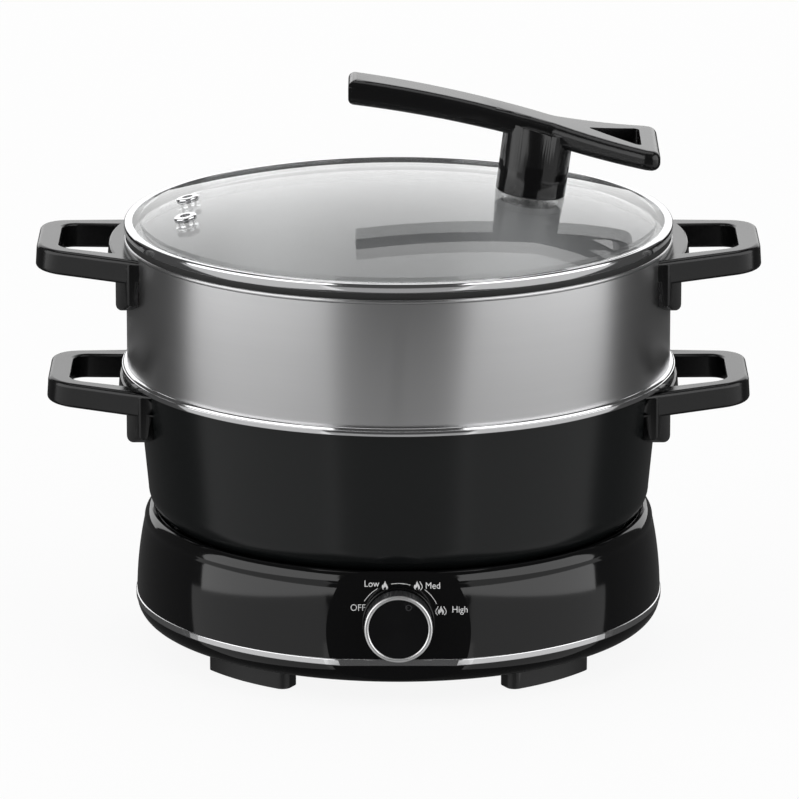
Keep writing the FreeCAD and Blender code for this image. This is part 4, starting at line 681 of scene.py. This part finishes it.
@dataclass
class HeatingBase:
    """The glossy base with its trim band, its guide ring, the hot plate and the feet."""

    foot_height: float = 12.4
    band_z: float = 22.6
    band_top: float = 26.2
    band_radius: float = 137.9
    band_depth: float = 1.4
    cover_seat: Pair = (124.1, 15.0)
    floor_opening: Pair = (115.8, 17.4)
    side: Pair = (136.4, 47.9)
    shoulder: Pair = (133.6, 64.3)
    bulge: Pair = (132.6, 68.6)
    crown: Pair = (130.2, 71.2)
    lip_inner: float = 128.5
    lip_edge: float = 0.3
    inlet_size: Pair = (44.4, 21.4)
    inlet_z: float = 38.0
    inlet_corner: float = 5.2
    inlet_ends: Pair = (122.0, 152.0)

    def housing(self) -> bpy.types.Mesh:
        """Turn the shell, cut the front facet and the inlet's opening.

        Returns:
            The closed shell.
        """
        corner = self.band_z - self.foot_height
        centre = self.band_radius - corner
        turn = corner * math.sqrt(0.5)
        seat = self.band_radius - self.band_depth
        crown, top = self.crown
        points = Shape.profile(
            (self.cover_seat[0], self.foot_height), (centre - 1.0, self.foot_height), (centre, self.foot_height),
            ((centre + turn, self.band_z - turn), (self.band_radius, self.band_z), 12),
            (seat, self.band_z), (seat, self.band_top), (self.band_radius, self.band_top),
            (self.side, self.shoulder, 20), (self.bulge, self.crown, 12),
            (crown - self.lip_edge, top), (self.lip_inner + self.lip_edge, top),
            (self.lip_inner, top - self.lip_edge), (self.lip_inner, self.floor_opening[1]),
            self.floor_opening, (self.floor_opening[0], self.cover_seat[1]), self.cover_seat)
        mesh = Shape.turned("housing", points, 360)
        work = bmesh.new()
        work.from_mesh(mesh)
        spot = Vector(Panel.ORIGIN) * MM
        parts = list(work.verts) + list(work.edges) + list(work.faces)
        bmesh.ops.bisect_plane(work, geom=parts, dist=1e-7, plane_co=spot, plane_no=Panel.normal(),
                               clear_outer=True)
        rims = [edge for edge in work.edges if edge.is_boundary]
        bmesh.ops.edgeloop_fill(work, edges=rims)
        bmesh.ops.recalc_face_normals(work, faces=work.faces)
        work.to_mesh(mesh)
        work.free()
        shell = Shape.placed("housing_shell", mesh)
        cutter = Shape.placed("inlet_cutter", self.inlet_bar())
        cut = shell.modifiers.new("inlet", "BOOLEAN")
        cut.object = cutter
        cut.operation = "DIFFERENCE"
        cut.solver = "EXACT"
        result = Shape.baked(shell)
        bpy.data.objects.remove(shell)
        bpy.data.objects.remove(cutter)
        Shape.smoothed(result, 38.0)
        normal = Panel.normal()
        flats = [face for face in result.polygons if face.normal.dot(normal) > 0.99999 and face.area > 1e-4]
        keys = {key for face in flats for key in face.edge_keys}
        for edge in result.edges:
            if edge.key in keys:
                edge.use_edge_sharp = True
        return result

    def inlet_bar(self) -> bpy.types.Mesh:
        """Give the rounded bar that opens the housing behind the inlet."""
        width, height = self.inlet_size
        corner = self.inlet_corner
        near, far = self.inlet_ends
        outline: list[Pair] = []
        for index, (sx, sz) in enumerate(((1, 1), (-1, 1), (-1, -1), (1, -1))):
            cx, cz = sx * (width / 2 - corner), sz * (height / 2 - corner)
            for step in range(7):
                angle = math.radians(90 * index + 15 * step)
                outline.append((cx + corner * math.cos(angle), cz + corner * math.sin(angle)))
        mesh = Shape.solid_from_outline("inlet_bar", outline, far - near)
        lay = Matrix.Translation((0, far, self.inlet_z)) @ Matrix.Rotation(math.radians(90), 4, "X")
        mesh.transform(Matrix.Scale(MM, 4) @ lay)
        return mesh

    def cover_heads(self) -> bpy.types.Mesh:
        """Lay the flat slotted screw heads of the bottom cover on their circle."""
        rule = Rule("cover_heads", {"Count": 6, "Circle": 0.1198, "Turn": math.radians(30), "Head": 0.003,
                                    "Thick": 0.0014, "Slot": 0.0008, "Level": self.foot_height * MM})
        graph, thick = rule.graph, rule.size("Thick")
        ring = graph.add("GeometryNodeMeshCircle", None, {
            "Vertices": rule.size("Count"), "Radius": rule.size("Circle")})
        ring = graph.add("GeometryNodeTransform", None, {
            "Geometry": ring, "Rotation": graph.vector(Z=rule.size("Turn")),
            "Translation": graph.vector(Z=rule.size("Level") + thick * 0.5)})
        head = graph.add("GeometryNodeMeshCylinder", None, {
            "Vertices": 28, "Radius": rule.size("Head"), "Depth": thick})
        bar = graph.add("GeometryNodeMeshCube", None, {
            "Size": graph.vector(X=rule.size("Head") * 1.5, Y=rule.size("Slot"), Z=thick)})
        bar = graph.add("GeometryNodeTransform", None, {
            "Geometry": bar, "Translation": graph.vector(Z=thick * -0.6)})
        head = graph.add("GeometryNodeMeshBoolean", {"operation": "DIFFERENCE"}, {"Mesh 1": head, "Mesh 2": bar})
        heads = graph.add("GeometryNodeInstanceOnPoints", None, {"Points": ring, "Instance": head})
        return rule.finish(heads, SCREW)

    def build(self) -> None:
        """Make and dress the whole base."""
        dressed("housing_skin", self.housing(), HOUSING, "base", "black_gloss_plastic", "base_housing")
        recast("trim_band", TRIM, "base", "silver_trim", 30.0, 0.5)
        recast("top_ring", HOUSING, "base", "black_gloss_plastic", 30.0)
        recast("power_inlet", INNER_PLASTIC, "base", "black_gloss_plastic", 30.0)
        recast("heating_plate", CAST, "base", "cast_aluminium", 30.0, 0.5)
        recast("base_bottom_cover", INNER_PLASTIC, "base", "dark_heatproof_plastic", 30.0)
        for corner in ("front_right", "front_left", "rear_left", "rear_right"):
            recast("foot_" + corner, INNER_PLASTIC, "base", "dark_heatproof_plastic", 30.0)
            repaint(RUBBER, "foot_pad_" + corner)
        dressed("cover_screw_heads", self.cover_heads(), SCREW, "base", "screw_steel", "cover_screws")
        repaint(HEATER, "heating_element")
        repaint(CAST, "reflector_pan", "centre_sensor", "plate_standoffs")
        repaint(INNER_PLASTIC, "limit_switch", "heat_switch", "terminal_block")
        repaint(SCREW, "panel_screws", "switch_bracket")
        repaint(CERAMIC, "thermal_fuse")
        repaint(BRASS, "inlet_pins")
        repaint(SLEEVE, "internal_leads")


@dataclass
class Dial:
    """The turning dial, its seat and the printed marks round it."""

    radius: float = 17.3
    back: float = 2.1
    length: float = 13.5
    flutes: int = 48
    flute_depth: float = 0.35
    ring_thick: float = 2.2
    ring_width: float = 2.2
    pointer_place: float = 12.3
    pointer_angle: float = 24.6
    pointer_rim_radii: Pair = (1.2, 1.65)
    cap_height: float = 3.35
    word_width: float = 0.93
    print_thick: float = 0.04
    print_lift: float = 0.03
    wave_width: float = 0.4
    dash_width: float = 0.32
    words: tuple[tuple[str, float, float], ...] = (
        ("OFF", -20.6, 7.8), ("Low", -13.5, 20.2), ("Med", 17.5, 19.2), ("High", 31.3, 6.3))
    flames: tuple[tuple[float, float, int], ...] = ((-6.9, 19.2, 1), (9.4, 19.2, 2), (21.6, 6.3, 3))
    dashes: tuple[tuple[float, float, float], ...] = (
        (20.6, -57.7, -31.3), (20.3, -10.6, 17.0), (21.7, 38.0, 63.6))

    FLAME = ((-0.5, -2.2), (-1.15, -1.85), (-1.6, -1.0), (-1.5, -0.1), (-1.1, 0.55), (-0.8, 0.2), (-0.5, 0.95),
             (-0.25, 1.65), (0.15, 2.4), (0.3, 1.5), (0.7, 0.8), (1.2, 0.1), (1.55, -0.7), (1.45, -1.5),
             (1.05, -2.0), (0.5, -2.2), (0.72, -1.5), (0.5, -0.85), (0.05, -0.35), (-0.2, -0.95),
             (-0.6, -1.3), (-0.72, -1.8))
    WAVE = ((1.7, -2.4), (2.4, -1.6), (2.7, -0.7), (2.5, 0.2), (1.9, 1.1), (1.4, 2.1))
    WAVE_SIDES = {1: (), 2: (1,), 3: (1, -1)}

    def grip(self) -> bpy.types.Mesh:
        """Make the fluted side of the dial by a rule on the angle.

        Returns:
            The grip in place.
        """
        rule = Rule("dial_flutes", {"Radius": self.radius * MM, "Length": self.length * MM,
                                    "Depth": self.flute_depth * MM, "Flutes": float(self.flutes),
                                    "Edge Height": 0.0008, "Edge Depth": 0.0002})
        graph = rule.graph
        drum = graph.add("GeometryNodeMeshCylinder", {"fill_type": "NGON"}, {
            "Vertices": 480, "Side Segments": 14, "Radius": rule.size("Radius"), "Depth": rule.size("Length")})
        parts = graph.tree.nodes.new("ShaderNodeSeparateXYZ")
        graph.tree.links.new(graph.add("GeometryNodeInputPosition").socket, parts.inputs[0])
        across, along, high = (Wire(graph, parts.outputs[index]) for index in range(3))
        angle = along.math("ARCTAN2", across)
        wave = (angle * rule.size("Flutes")).math("COSINE") * 0.5 + 0.5
        rim = (rule.size("Length") * 0.5 - high.math("ABSOLUTE")) / rule.size("Edge Height")
        fade = rim.math("MINIMUM", 1.0)
        inward = wave ** 3.0 * rule.size("Depth") * fade + (1.0 - fade) * rule.size("Edge Depth")
        shift = graph.vector(X=angle.math("COSINE") * inward * -1.0, Y=angle.math("SINE") * inward * -1.0)
        drum = graph.add("GeometryNodeSetPosition", None, {"Geometry": drum, "Offset": shift})
        mesh = rule.finish(drum, KNOB)
        middle = self.back + self.length / 2
        Panel.seat(mesh, (0.0, 0.0, middle))
        Shape.smoothed(mesh, 40.0)
        return mesh

    def bright_ring(self) -> bpy.types.Mesh:
        """Turn the chromed ring round the dial's face."""
        low = self.back + self.length
        points = Shape.eased([(self.radius, low), (self.radius, low + self.ring_thick),
                              (self.radius - self.ring_width, low + self.ring_thick),
                              (self.radius - self.ring_width, low)], 1.0)
        mesh = Shape.turned("bright_ring", points, 192)
        Panel.seat(mesh)
        Shape.smoothed(mesh, 50.0)
        return mesh

    def pointer_rim(self) -> bpy.types.Mesh:
        """Turn the fine rim of the pointer's dimple."""
        angle = math.radians(self.pointer_angle)
        spot = (self.pointer_place * math.sin(angle), self.pointer_place * math.cos(angle), 0.0)
        level = self.back + self.length + self.ring_thick - 0.8
        low, high = level - 0.3, level + 0.08
        inner, outer = self.pointer_rim_radii
        mesh = Shape.turned("pointer_rim", [(inner, low), (outer, low), (outer, high), (inner, high)], 40)
        Panel.seat(mesh, spot)
        Shape.smoothed(mesh, 50.0)
        return mesh

    def word(self, text: str, x: float, y: float) -> bpy.types.Mesh:
        """Set one word on the panel, centred on a place."""
        curve = bpy.data.curves.new("word_" + text, "FONT")
        curve.body = text
        curve.align_x = "CENTER"
        curve.align_y = "CENTER"
        curve.size = self.cap_height / 0.7
        curve.extrude = self.print_thick / 2
        holder = Shape.placed("word", curve)
        mesh = Shape.baked(holder)
        bpy.data.objects.remove(holder)
        columns = [[vertex.co[axis] for vertex in mesh.vertices] for axis in (0, 1)]
        across, along = ((min(column) + max(column)) / 2 for column in columns)
        narrow = Matrix.Diagonal((self.word_width, 1.0, 1.0, 1.0))
        mesh.transform(Matrix.Translation((x, y, 0.0)) @ narrow @ Matrix.Translation((-across, -along, 0.0)))
        return mesh

    def flame(self, x: float, y: float, strength: int) -> list[bpy.types.Mesh]:
        """Draw a flame, with a wave beside it for each step of heat above the first.

        Args:
            x: The flame's place across the panel.
            y: Its place up the panel.
            strength: 1 for a plain flame, 2 or 3 with waves beside it.

        Returns:
            The flat solids.
        """
        core = [(x + dx, y + dy) for dx, dy in self.FLAME]
        shapes = [Shape.solid_from_outline("flame", core, self.print_thick)]
        for side in self.WAVE_SIDES[strength]:
            shapes.append(self.stroke([(x + side * dx, y + dy) for dx, dy in self.WAVE], self.wave_width))
        return shapes

    def stroke(self, line: Sequence[Pair], width: float) -> bpy.types.Mesh:
        """Make a thin flat ribbon of an even width along points on the panel."""
        one: list[Pair] = []
        two: list[Pair] = []
        for index, here in enumerate(line):
            back = line[max(0, index - 1)]
            ahead = line[min(len(line) - 1, index + 1)]
            along = (Vector(ahead) - Vector(back)).normalized()
            side = Vector((-along.y, along.x)) * width / 2
            one.append((here[0] + side.x, here[1] + side.y))
            two.append((here[0] - side.x, here[1] - side.y))
        return Shape.solid_from_outline("stroke", one + two[::-1], self.print_thick)

    def marks(self) -> bpy.types.Mesh:
        """Set the words, the flames and the dashes between them.

        Returns:
            All the print in one mesh.
        """
        meshes = [self.word(*word) for word in self.words]
        for x, y, strength in self.flames:
            meshes += self.flame(x, y, strength)
        for radius, start, end in self.dashes:
            steps = [math.radians(start + (end - start) * step / 16) for step in range(17)]
            arc = [(radius * math.sin(angle), radius * math.cos(angle)) for angle in steps]
            meshes.append(self.stroke(arc, self.dash_width))
        mesh = Shape.joined("marks", meshes)
        mesh.transform(Matrix.Scale(MM, 4) @ Panel.matrix() @ Matrix.Translation((0, 0, self.print_lift)))
        return mesh

    def build(self) -> None:
        """Make and dress the dial and its marks."""
        middle = tuple(part * MM for part in Panel.ORIGIN)
        face = Metal("spun_dial_face", (0.012, 0.012, 0.013), gloss=0.22, grain=Grain.SPUN, relief=0.35,
                     shade=0.2, centre=middle, axis=tuple(Panel.normal()), pitch_mm=0.5, metallic=0.6)
        ring = Metal("dial_ring_bright", (0.92, 0.92, 0.92), gloss=0.36, relief=0.02, shade=0.02)
        dressed("dial_grip", self.grip(), KNOB, "dial", "black_gloss_plastic", "knob_body")
        dressed("dial_bright_ring", self.bright_ring(), ring, "dial", "chromed_metal", "knob_trim_ring")
        recast("knob_face_disc", face, "dial", "dial_face", 30.0)
        dressed("dial_pointer_rim", self.pointer_rim(), KNOB, "dial", "dial_face")
        recast("knob_bezel", HOUSING, "base", "black_gloss_plastic", 30.0)
        dressed("dial_marks", self.marks(), PRINT, "base", "dial_face")
        repaint(SCREW, "dial_shaft", "knob_clip")


@dataclass
class Pot:
    """The coated pot with its bright rim, its base disc and two side handles."""

    floor_z: float = 67.5
    wall_top: float = 146.0
    top: float = 150.5
    corner: float = 16.0
    corner_radius: float = 131.4
    mouth: float = 137.3
    wall: float = 3.0
    floor: float = 3.5
    rim_outer: float = 144.65
    rim_round: float = 1.8
    disc_radius: float = 98.0
    disc_recess: float = 1.4

    def shell(self) -> bpy.types.Mesh:
        """Turn the pot's wall and floor."""
        centre = self.corner_radius - self.corner
        level = self.floor_z + self.corner
        turn = self.corner * math.sqrt(0.5)
        inner = self.corner - self.wall
        inner_turn = inner * math.sqrt(0.5)
        inner_level = self.floor_z + self.floor + inner
        slope = (self.mouth - self.corner_radius) / (self.wall_top - level)
        points = Shape.profile(
            (0.0, self.floor_z + self.disc_recess), (self.disc_radius, self.floor_z + self.disc_recess),
            (self.disc_radius, self.floor_z), (centre, self.floor_z),
            ((centre + turn, level - turn), (self.corner_radius, level), 14),
            (self.corner_radius + slope * 2, level + 2), (self.mouth, self.wall_top),
            (self.mouth - self.wall, self.wall_top), (self.corner_radius - self.wall + slope * 3, inner_level + 3),
            (self.corner_radius - self.wall, inner_level),
            ((centre + inner_turn, inner_level - inner_turn), (centre, self.floor_z + self.floor), 10),
            (centre - 2, self.floor_z + self.floor), (0.0, self.floor_z + self.floor))
        mesh = Shape.turned("pot_shell", points)
        Shape.smoothed(mesh)
        return mesh

    def rim(self) -> bpy.types.Mesh:
        """Turn the bright rolled ring on the mouth."""
        shoulder = self.rim_outer - 0.45
        middle = self.top - self.rim_round
        turn = self.rim_round * math.sqrt(0.5)
        lip = shoulder - self.rim_round
        points = Shape.profile(
            (self.mouth - self.wall, self.wall_top), (self.rim_outer, self.wall_top), (self.rim_outer, middle),
            (shoulder, middle), ((lip + turn, middle + turn), (lip, self.top), 6),
            (self.mouth - self.wall, self.top))
        mesh = Shape.turned("pot_rim", Shape.eased(points, 0.5, 60.0))
        Shape.smoothed(mesh, 50.0)
        return mesh

    def build(self) -> None:
        """Make and dress the pot."""
        dressed("pot_shell_skin", self.shell(), COATING, "pot", "coated_pot", "pot_shell")
        dressed("pot_rim_skin", self.rim(), RIM, "pot", "polished_rim", "pot_rim_ring")
        repaint(INNER_STEEL, "pot_base_disc")
        for side in ("right", "left"):
            recast("pot_handle_" + side, GRIP, "pot", "black_gloss_plastic", 28.0)
        repaint(SCREW, "pot_handle_screws", "pot_handle_bracket_right", "pot_handle_bracket_left")


@dataclass
class Steamer:
    """The brushed steel tier with its pierced floor and two side handles."""

    floor_z: float = 140.5
    pitch: float = 20.0
    hole: float = 3.5
    floor_thick: float = 1.0
    rings: int = 5

    def hole_lips(self) -> bpy.types.Mesh:
        """Lay a rounded lip round each steam hole.

        Returns:
            The lips on the floor's upper face.
        """
        rule = Rule("steam_hole_lips", {"Pitch": self.pitch * MM, "Hole": self.hole * MM, "Lip": 0.00045,
                                        "Level": (self.floor_z + self.floor_thick) * MM})
        graph = rule.graph
        bend = graph.add("GeometryNodeCurvePrimitiveCircle", None, {
            "Resolution": 20, "Radius": rule.size("Hole") + 0.0002})
        wire = graph.add("GeometryNodeCurvePrimitiveCircle", None, {"Resolution": 6, "Radius": rule.size("Lip")})
        lip = graph.add("GeometryNodeCurveToMesh", None, {"Curve": bend, "Profile Curve": wire})
        circles = [graph.add("GeometryNodeMeshCircle", None, {
            "Vertices": 6 * ring, "Radius": rule.size("Pitch") * float(ring)})
            for ring in range(1, self.rings + 1)]
        circles.append(graph.add("GeometryNodeMeshLine", None, {"Count": 1}))
        spots = graph.add("GeometryNodeJoinGeometry", None, {0: circles})
        spots = graph.add("GeometryNodeTransform", None, {
            "Geometry": spots, "Translation": graph.vector(Z=rule.size("Level"))})
        lips = graph.add("GeometryNodeInstanceOnPoints", None, {"Points": spots, "Instance": lip})
        return rule.finish(lips, STEEL)

    def build(self) -> None:
        """Make and dress the steamer."""
        recast("steamer_shell", STEEL, "steamer", "brushed_steel", 30.0)
        lips = self.hole_lips()
        Shape.smoothed(lips, 80.0)
        dressed("steam_hole_lips", lips, STEEL, "steamer", "brushed_steel")
        for side in ("right", "left"):
            recast("steamer_handle_" + side, GRIP, "steamer", "black_gloss_plastic", 28.0)
        repaint(SCREW, "steamer_handle_screws", "steamer_handle_bracket_right", "steamer_handle_bracket_left")


@dataclass
class GlassLid:
    """The domed glass with its steel band, its seal, two steam eyelets and the off-centre handle."""

    band_bottom: float = 219.6
    band_top: float = 225.0
    band_radius: float = 142.9
    sheet: float = 0.8
    lip: float = 4.4
    rise: float = 18.5
    glass_thick: float = 4.0
    flange: float = 7.6

    RINGS = 24

    def glass(self) -> bpy.types.Mesh:
        """Turn the glass with its flat flange and its dome.

        Returns:
            The closed glass.
        """
        outer = self.band_radius - self.sheet - 0.1
        top = self.band_top + self.rise
        flat = self.band_top - self.sheet
        low = self.band_bottom + self.sheet
        edge = outer - self.flange
        edge_z = flat + 0.5 * self.glass_thick
        sag = top - edge_z
        sphere = (edge ** 2 + sag ** 2) / (2 * sag)
        centre = top - sphere

        def level(radius: float, ball: float) -> float:
            """Give the height of a ball's face at a radius."""
            return centre + math.sqrt(ball ** 2 - radius ** 2)

        inner = sphere - self.glass_thick
        brink = edge - self.glass_thick / 4
        under = [(brink * ring / self.RINGS, level(brink * ring / self.RINGS, inner))
                 for ring in range(self.RINGS + 1)]
        over = [(edge * ring / self.RINGS, level(edge * ring / self.RINGS, sphere))
                for ring in range(self.RINGS, -1, -1)]
        step = [(brink, low), (outer, low), (outer, flat), (edge + 0.9, flat), (edge + 0.35, flat + 0.25),
                (edge + 0.1, flat + 0.8)]
        mesh = Shape.turned("glass", under + step + over, 256)
        Shape.smoothed(mesh, 35.0)
        return mesh

    def band(self) -> bpy.types.Mesh:
        """Turn the rolled steel band."""
        low, high, out = self.band_bottom, self.band_top, self.band_radius
        lip, turn = out - self.lip, 2 * self.sheet
        bend = turn * math.sqrt(0.5)
        points = Shape.profile(
            (lip, low), (out - 0.6, low), (out, low + 0.6), (out, high - turn),
            ((out - turn + bend, high - turn + bend), (out - turn, high), 8), (lip + 0.3, high), (lip, high - 0.3),
            (lip, high - self.sheet), (out - self.sheet, high - self.sheet), (out - self.sheet, low + self.sheet),
            (lip, low + self.sheet))
        mesh = Shape.turned("band", points)
        Shape.smoothed(mesh, 50.0)
        return mesh

    def build(self) -> None:
        """Make and dress the lid."""
        dressed("lid_glass_skin", self.glass(), GLASS, "lid", "lid_glass", "lid_glass")
        dressed("lid_band_skin", self.band(), RIM, "lid", "polished_rim", "lid_rim_band")
        recast("lid_gasket", RUBBER, "lid", "dark_rubber", 40.0)
        for place in ("rear", "front"):
            recast("vent_eyelet_" + place, CHROME, "lid", "chromed_metal", 35.0)
        recast("lid_handle_base", COLLAR, "lid", "black_gloss_plastic", 30.0)
        recast("lid_handle", HANDLE, "lid", "black_gloss_plastic", 30.0)
        repaint(RUBBER, "handle_gasket")
        repaint(SCREW, "handle_underplate", "lid_screw")


@dataclass
class Studio:
    """The pale floor, the soft boxes, the world and the camera."""

    floor_half: float = 6.0
    side_power: float = 28.0
    low_power: float = 8.0
    front_power: float = 3.8
    back_power: float = 36.0
    top_power: float = 10.0
    side_angle: float = 62.0
    side_roll: float = -9.0
    side_size: Pair = (2.5, 2.0)
    low_size: Pair = (2.5, 1.9)
    side_z: float = 1.02
    low_z: float = -0.94
    front_z: float = -1.25
    back_z: float = 1.3
    reach: float = 1.8
    world_glossy: float = 0.07
    world_light: float = 0.3
    eye: Point = (0.0, -3.3943, 1.0377)
    eye_pitch: float = 74.98
    lens: float = 301.9
    lens_shift: float = 0.00125

    def floor(self) -> None:
        """Lay the floor, which reads white and keeps a faint shadow."""
        work = bmesh.new()
        bmesh.ops.create_grid(work, x_segments=1, y_segments=1, size=self.floor_half)
        mesh = Shape.written("floor", work)
        plane = Shape.placed("floor", mesh)
        made = bpy.data.materials.new("studio_floor")
        graph = Graph.of(made)
        path = graph.tree.nodes.new("ShaderNodeLightPath")
        rays, glossy, shadow = (
            Wire(graph, path.outputs[name]) for name in ("Is Camera Ray", "Is Glossy Ray", "Is Shadow Ray"))
        paper = graph.add("ShaderNodeBsdfDiffuse", None, {"Color": rgba((0.9, 0.9, 0.9))})
        white = graph.add("ShaderNodeEmission", None, {"Color": rgba(WHITE), "Strength": 1.0})
        seen = graph.add("ShaderNodeMixShader", None, {0: 0.9, 1: paper, 2: white})
        dim = graph.add("ShaderNodeBsdfDiffuse", None, {"Color": rgba((0.5, 0.5, 0.5))})
        solid = graph.add("ShaderNodeMixShader", None, {0: rays, 1: dim, 2: seen})
        through = graph.add("ShaderNodeBsdfTransparent")
        whole = graph.add("ShaderNodeMixShader", None, {0: glossy.math("MAXIMUM", shadow), 1: solid, 2: through})
        graph.add("ShaderNodeOutputMaterial", None, {"Surface": whole})
        mesh.materials.append(made)

    def world(self) -> None:
        """Make the world white to the camera and dim to everything else."""
        world = bpy.data.worlds.new("studio")
        bpy.context.scene.world = world
        graph = Graph.of(world)
        path = graph.tree.nodes.new("ShaderNodeLightPath")
        camera = Wire(graph, path.outputs["Is Camera Ray"])
        glossy = Wire(graph, path.outputs["Is Glossy Ray"])
        strength = camera + (1.0 - camera) * (glossy * self.world_glossy + (1.0 - glossy) * self.world_light)
        back = graph.add("ShaderNodeBackground", None, {"Color": rgba(WHITE), "Strength": strength})
        graph.add("ShaderNodeOutputWorld", None, {"Surface": back})

    def box(self, name: str, power: float, size: Pair, place: Sequence[float], target: Sequence[float],
            roll: float = 0.0) -> None:
        """Hang one rectangular soft box.

        Args:
            name: Its name.
            power: Its power in watts.
            size: Its width and height in metres.
            place: Its centre.
            target: The point that it faces.
            roll: Its turn about the line to that point, in degrees.
        """
        light = bpy.data.lights.new(name, "AREA")
        light.shape = "RECTANGLE"
        light.size, light.size_y = size
        light.energy = power
        thing = bpy.data.objects.new(name, light)
        thing.location = place
        facing = (Vector(target) - Vector(place)).to_track_quat("-Z", "Y")
        thing.rotation_euler = (facing @ Quaternion((0.0, 0.0, 1.0), math.radians(roll))).to_euler()
        thing.visible_camera = False
        bpy.context.scene.collection.objects.link(thing)

    def lights(self) -> None:
        """Hang the boxes at the sides, low down, behind and above."""
        angle = math.radians(self.side_angle)
        rows = (("", self.side_power, self.side_size, self.side_z),
                ("_low", self.low_power, self.low_size, self.low_z))
        for name, side in (("left_box", -1), ("right_box", 1)):
            for word, power, size, level in rows:
                place = (side * self.reach * math.sin(angle), -self.reach * math.cos(angle), level)
                self.box(name + word, power, size, place, (0.0, 0.0, level), side * self.side_roll)
        self.box("front_low", self.front_power, (2.2, 1.8), (0.0, -self.reach, self.front_z),
                 (0.0, 0.0, self.front_z))
        self.box("back_box", self.back_power, (4.0, 2.2), (0.0, 2.2, self.back_z), (0.0, 0.0, self.back_z))
        self.box("top_box", self.top_power, (2.0, 1.4), (0.0, 0.2, 2.4), (0.0, 0.0, 0.1))

    def camera(self) -> None:
        """Set the camera as the photograph was taken."""
        lens = bpy.data.cameras.new("camera")
        lens.lens = self.lens
        lens.sensor_width = 36.0
        lens.shift_x = self.lens_shift
        eye = bpy.data.objects.new("camera", lens)
        eye.location = self.eye
        eye.rotation_euler = (math.radians(self.eye_pitch), 0.0, 0.0)
        bpy.context.scene.collection.objects.link(eye)
        bpy.context.scene.camera = eye

    def build(self) -> None:
        """Set up the whole studio."""
        self.camera()
        self.floor()
        self.world()
        self.lights()
        bpy.context.scene.view_settings.view_transform = "Standard"


def main() -> None:
    """Build the studio and every sub-assembly in order."""
    logging.basicConfig(level=logging.INFO, format="%(name)s %(message)s")
    for part in (Studio(), HeatingBase(), Dial(), Pot(), Steamer(), GlassLid()):
        part.build()
        LOG.info("%s is done", type(part).__name__)


if __name__ == "__main__":
    main()
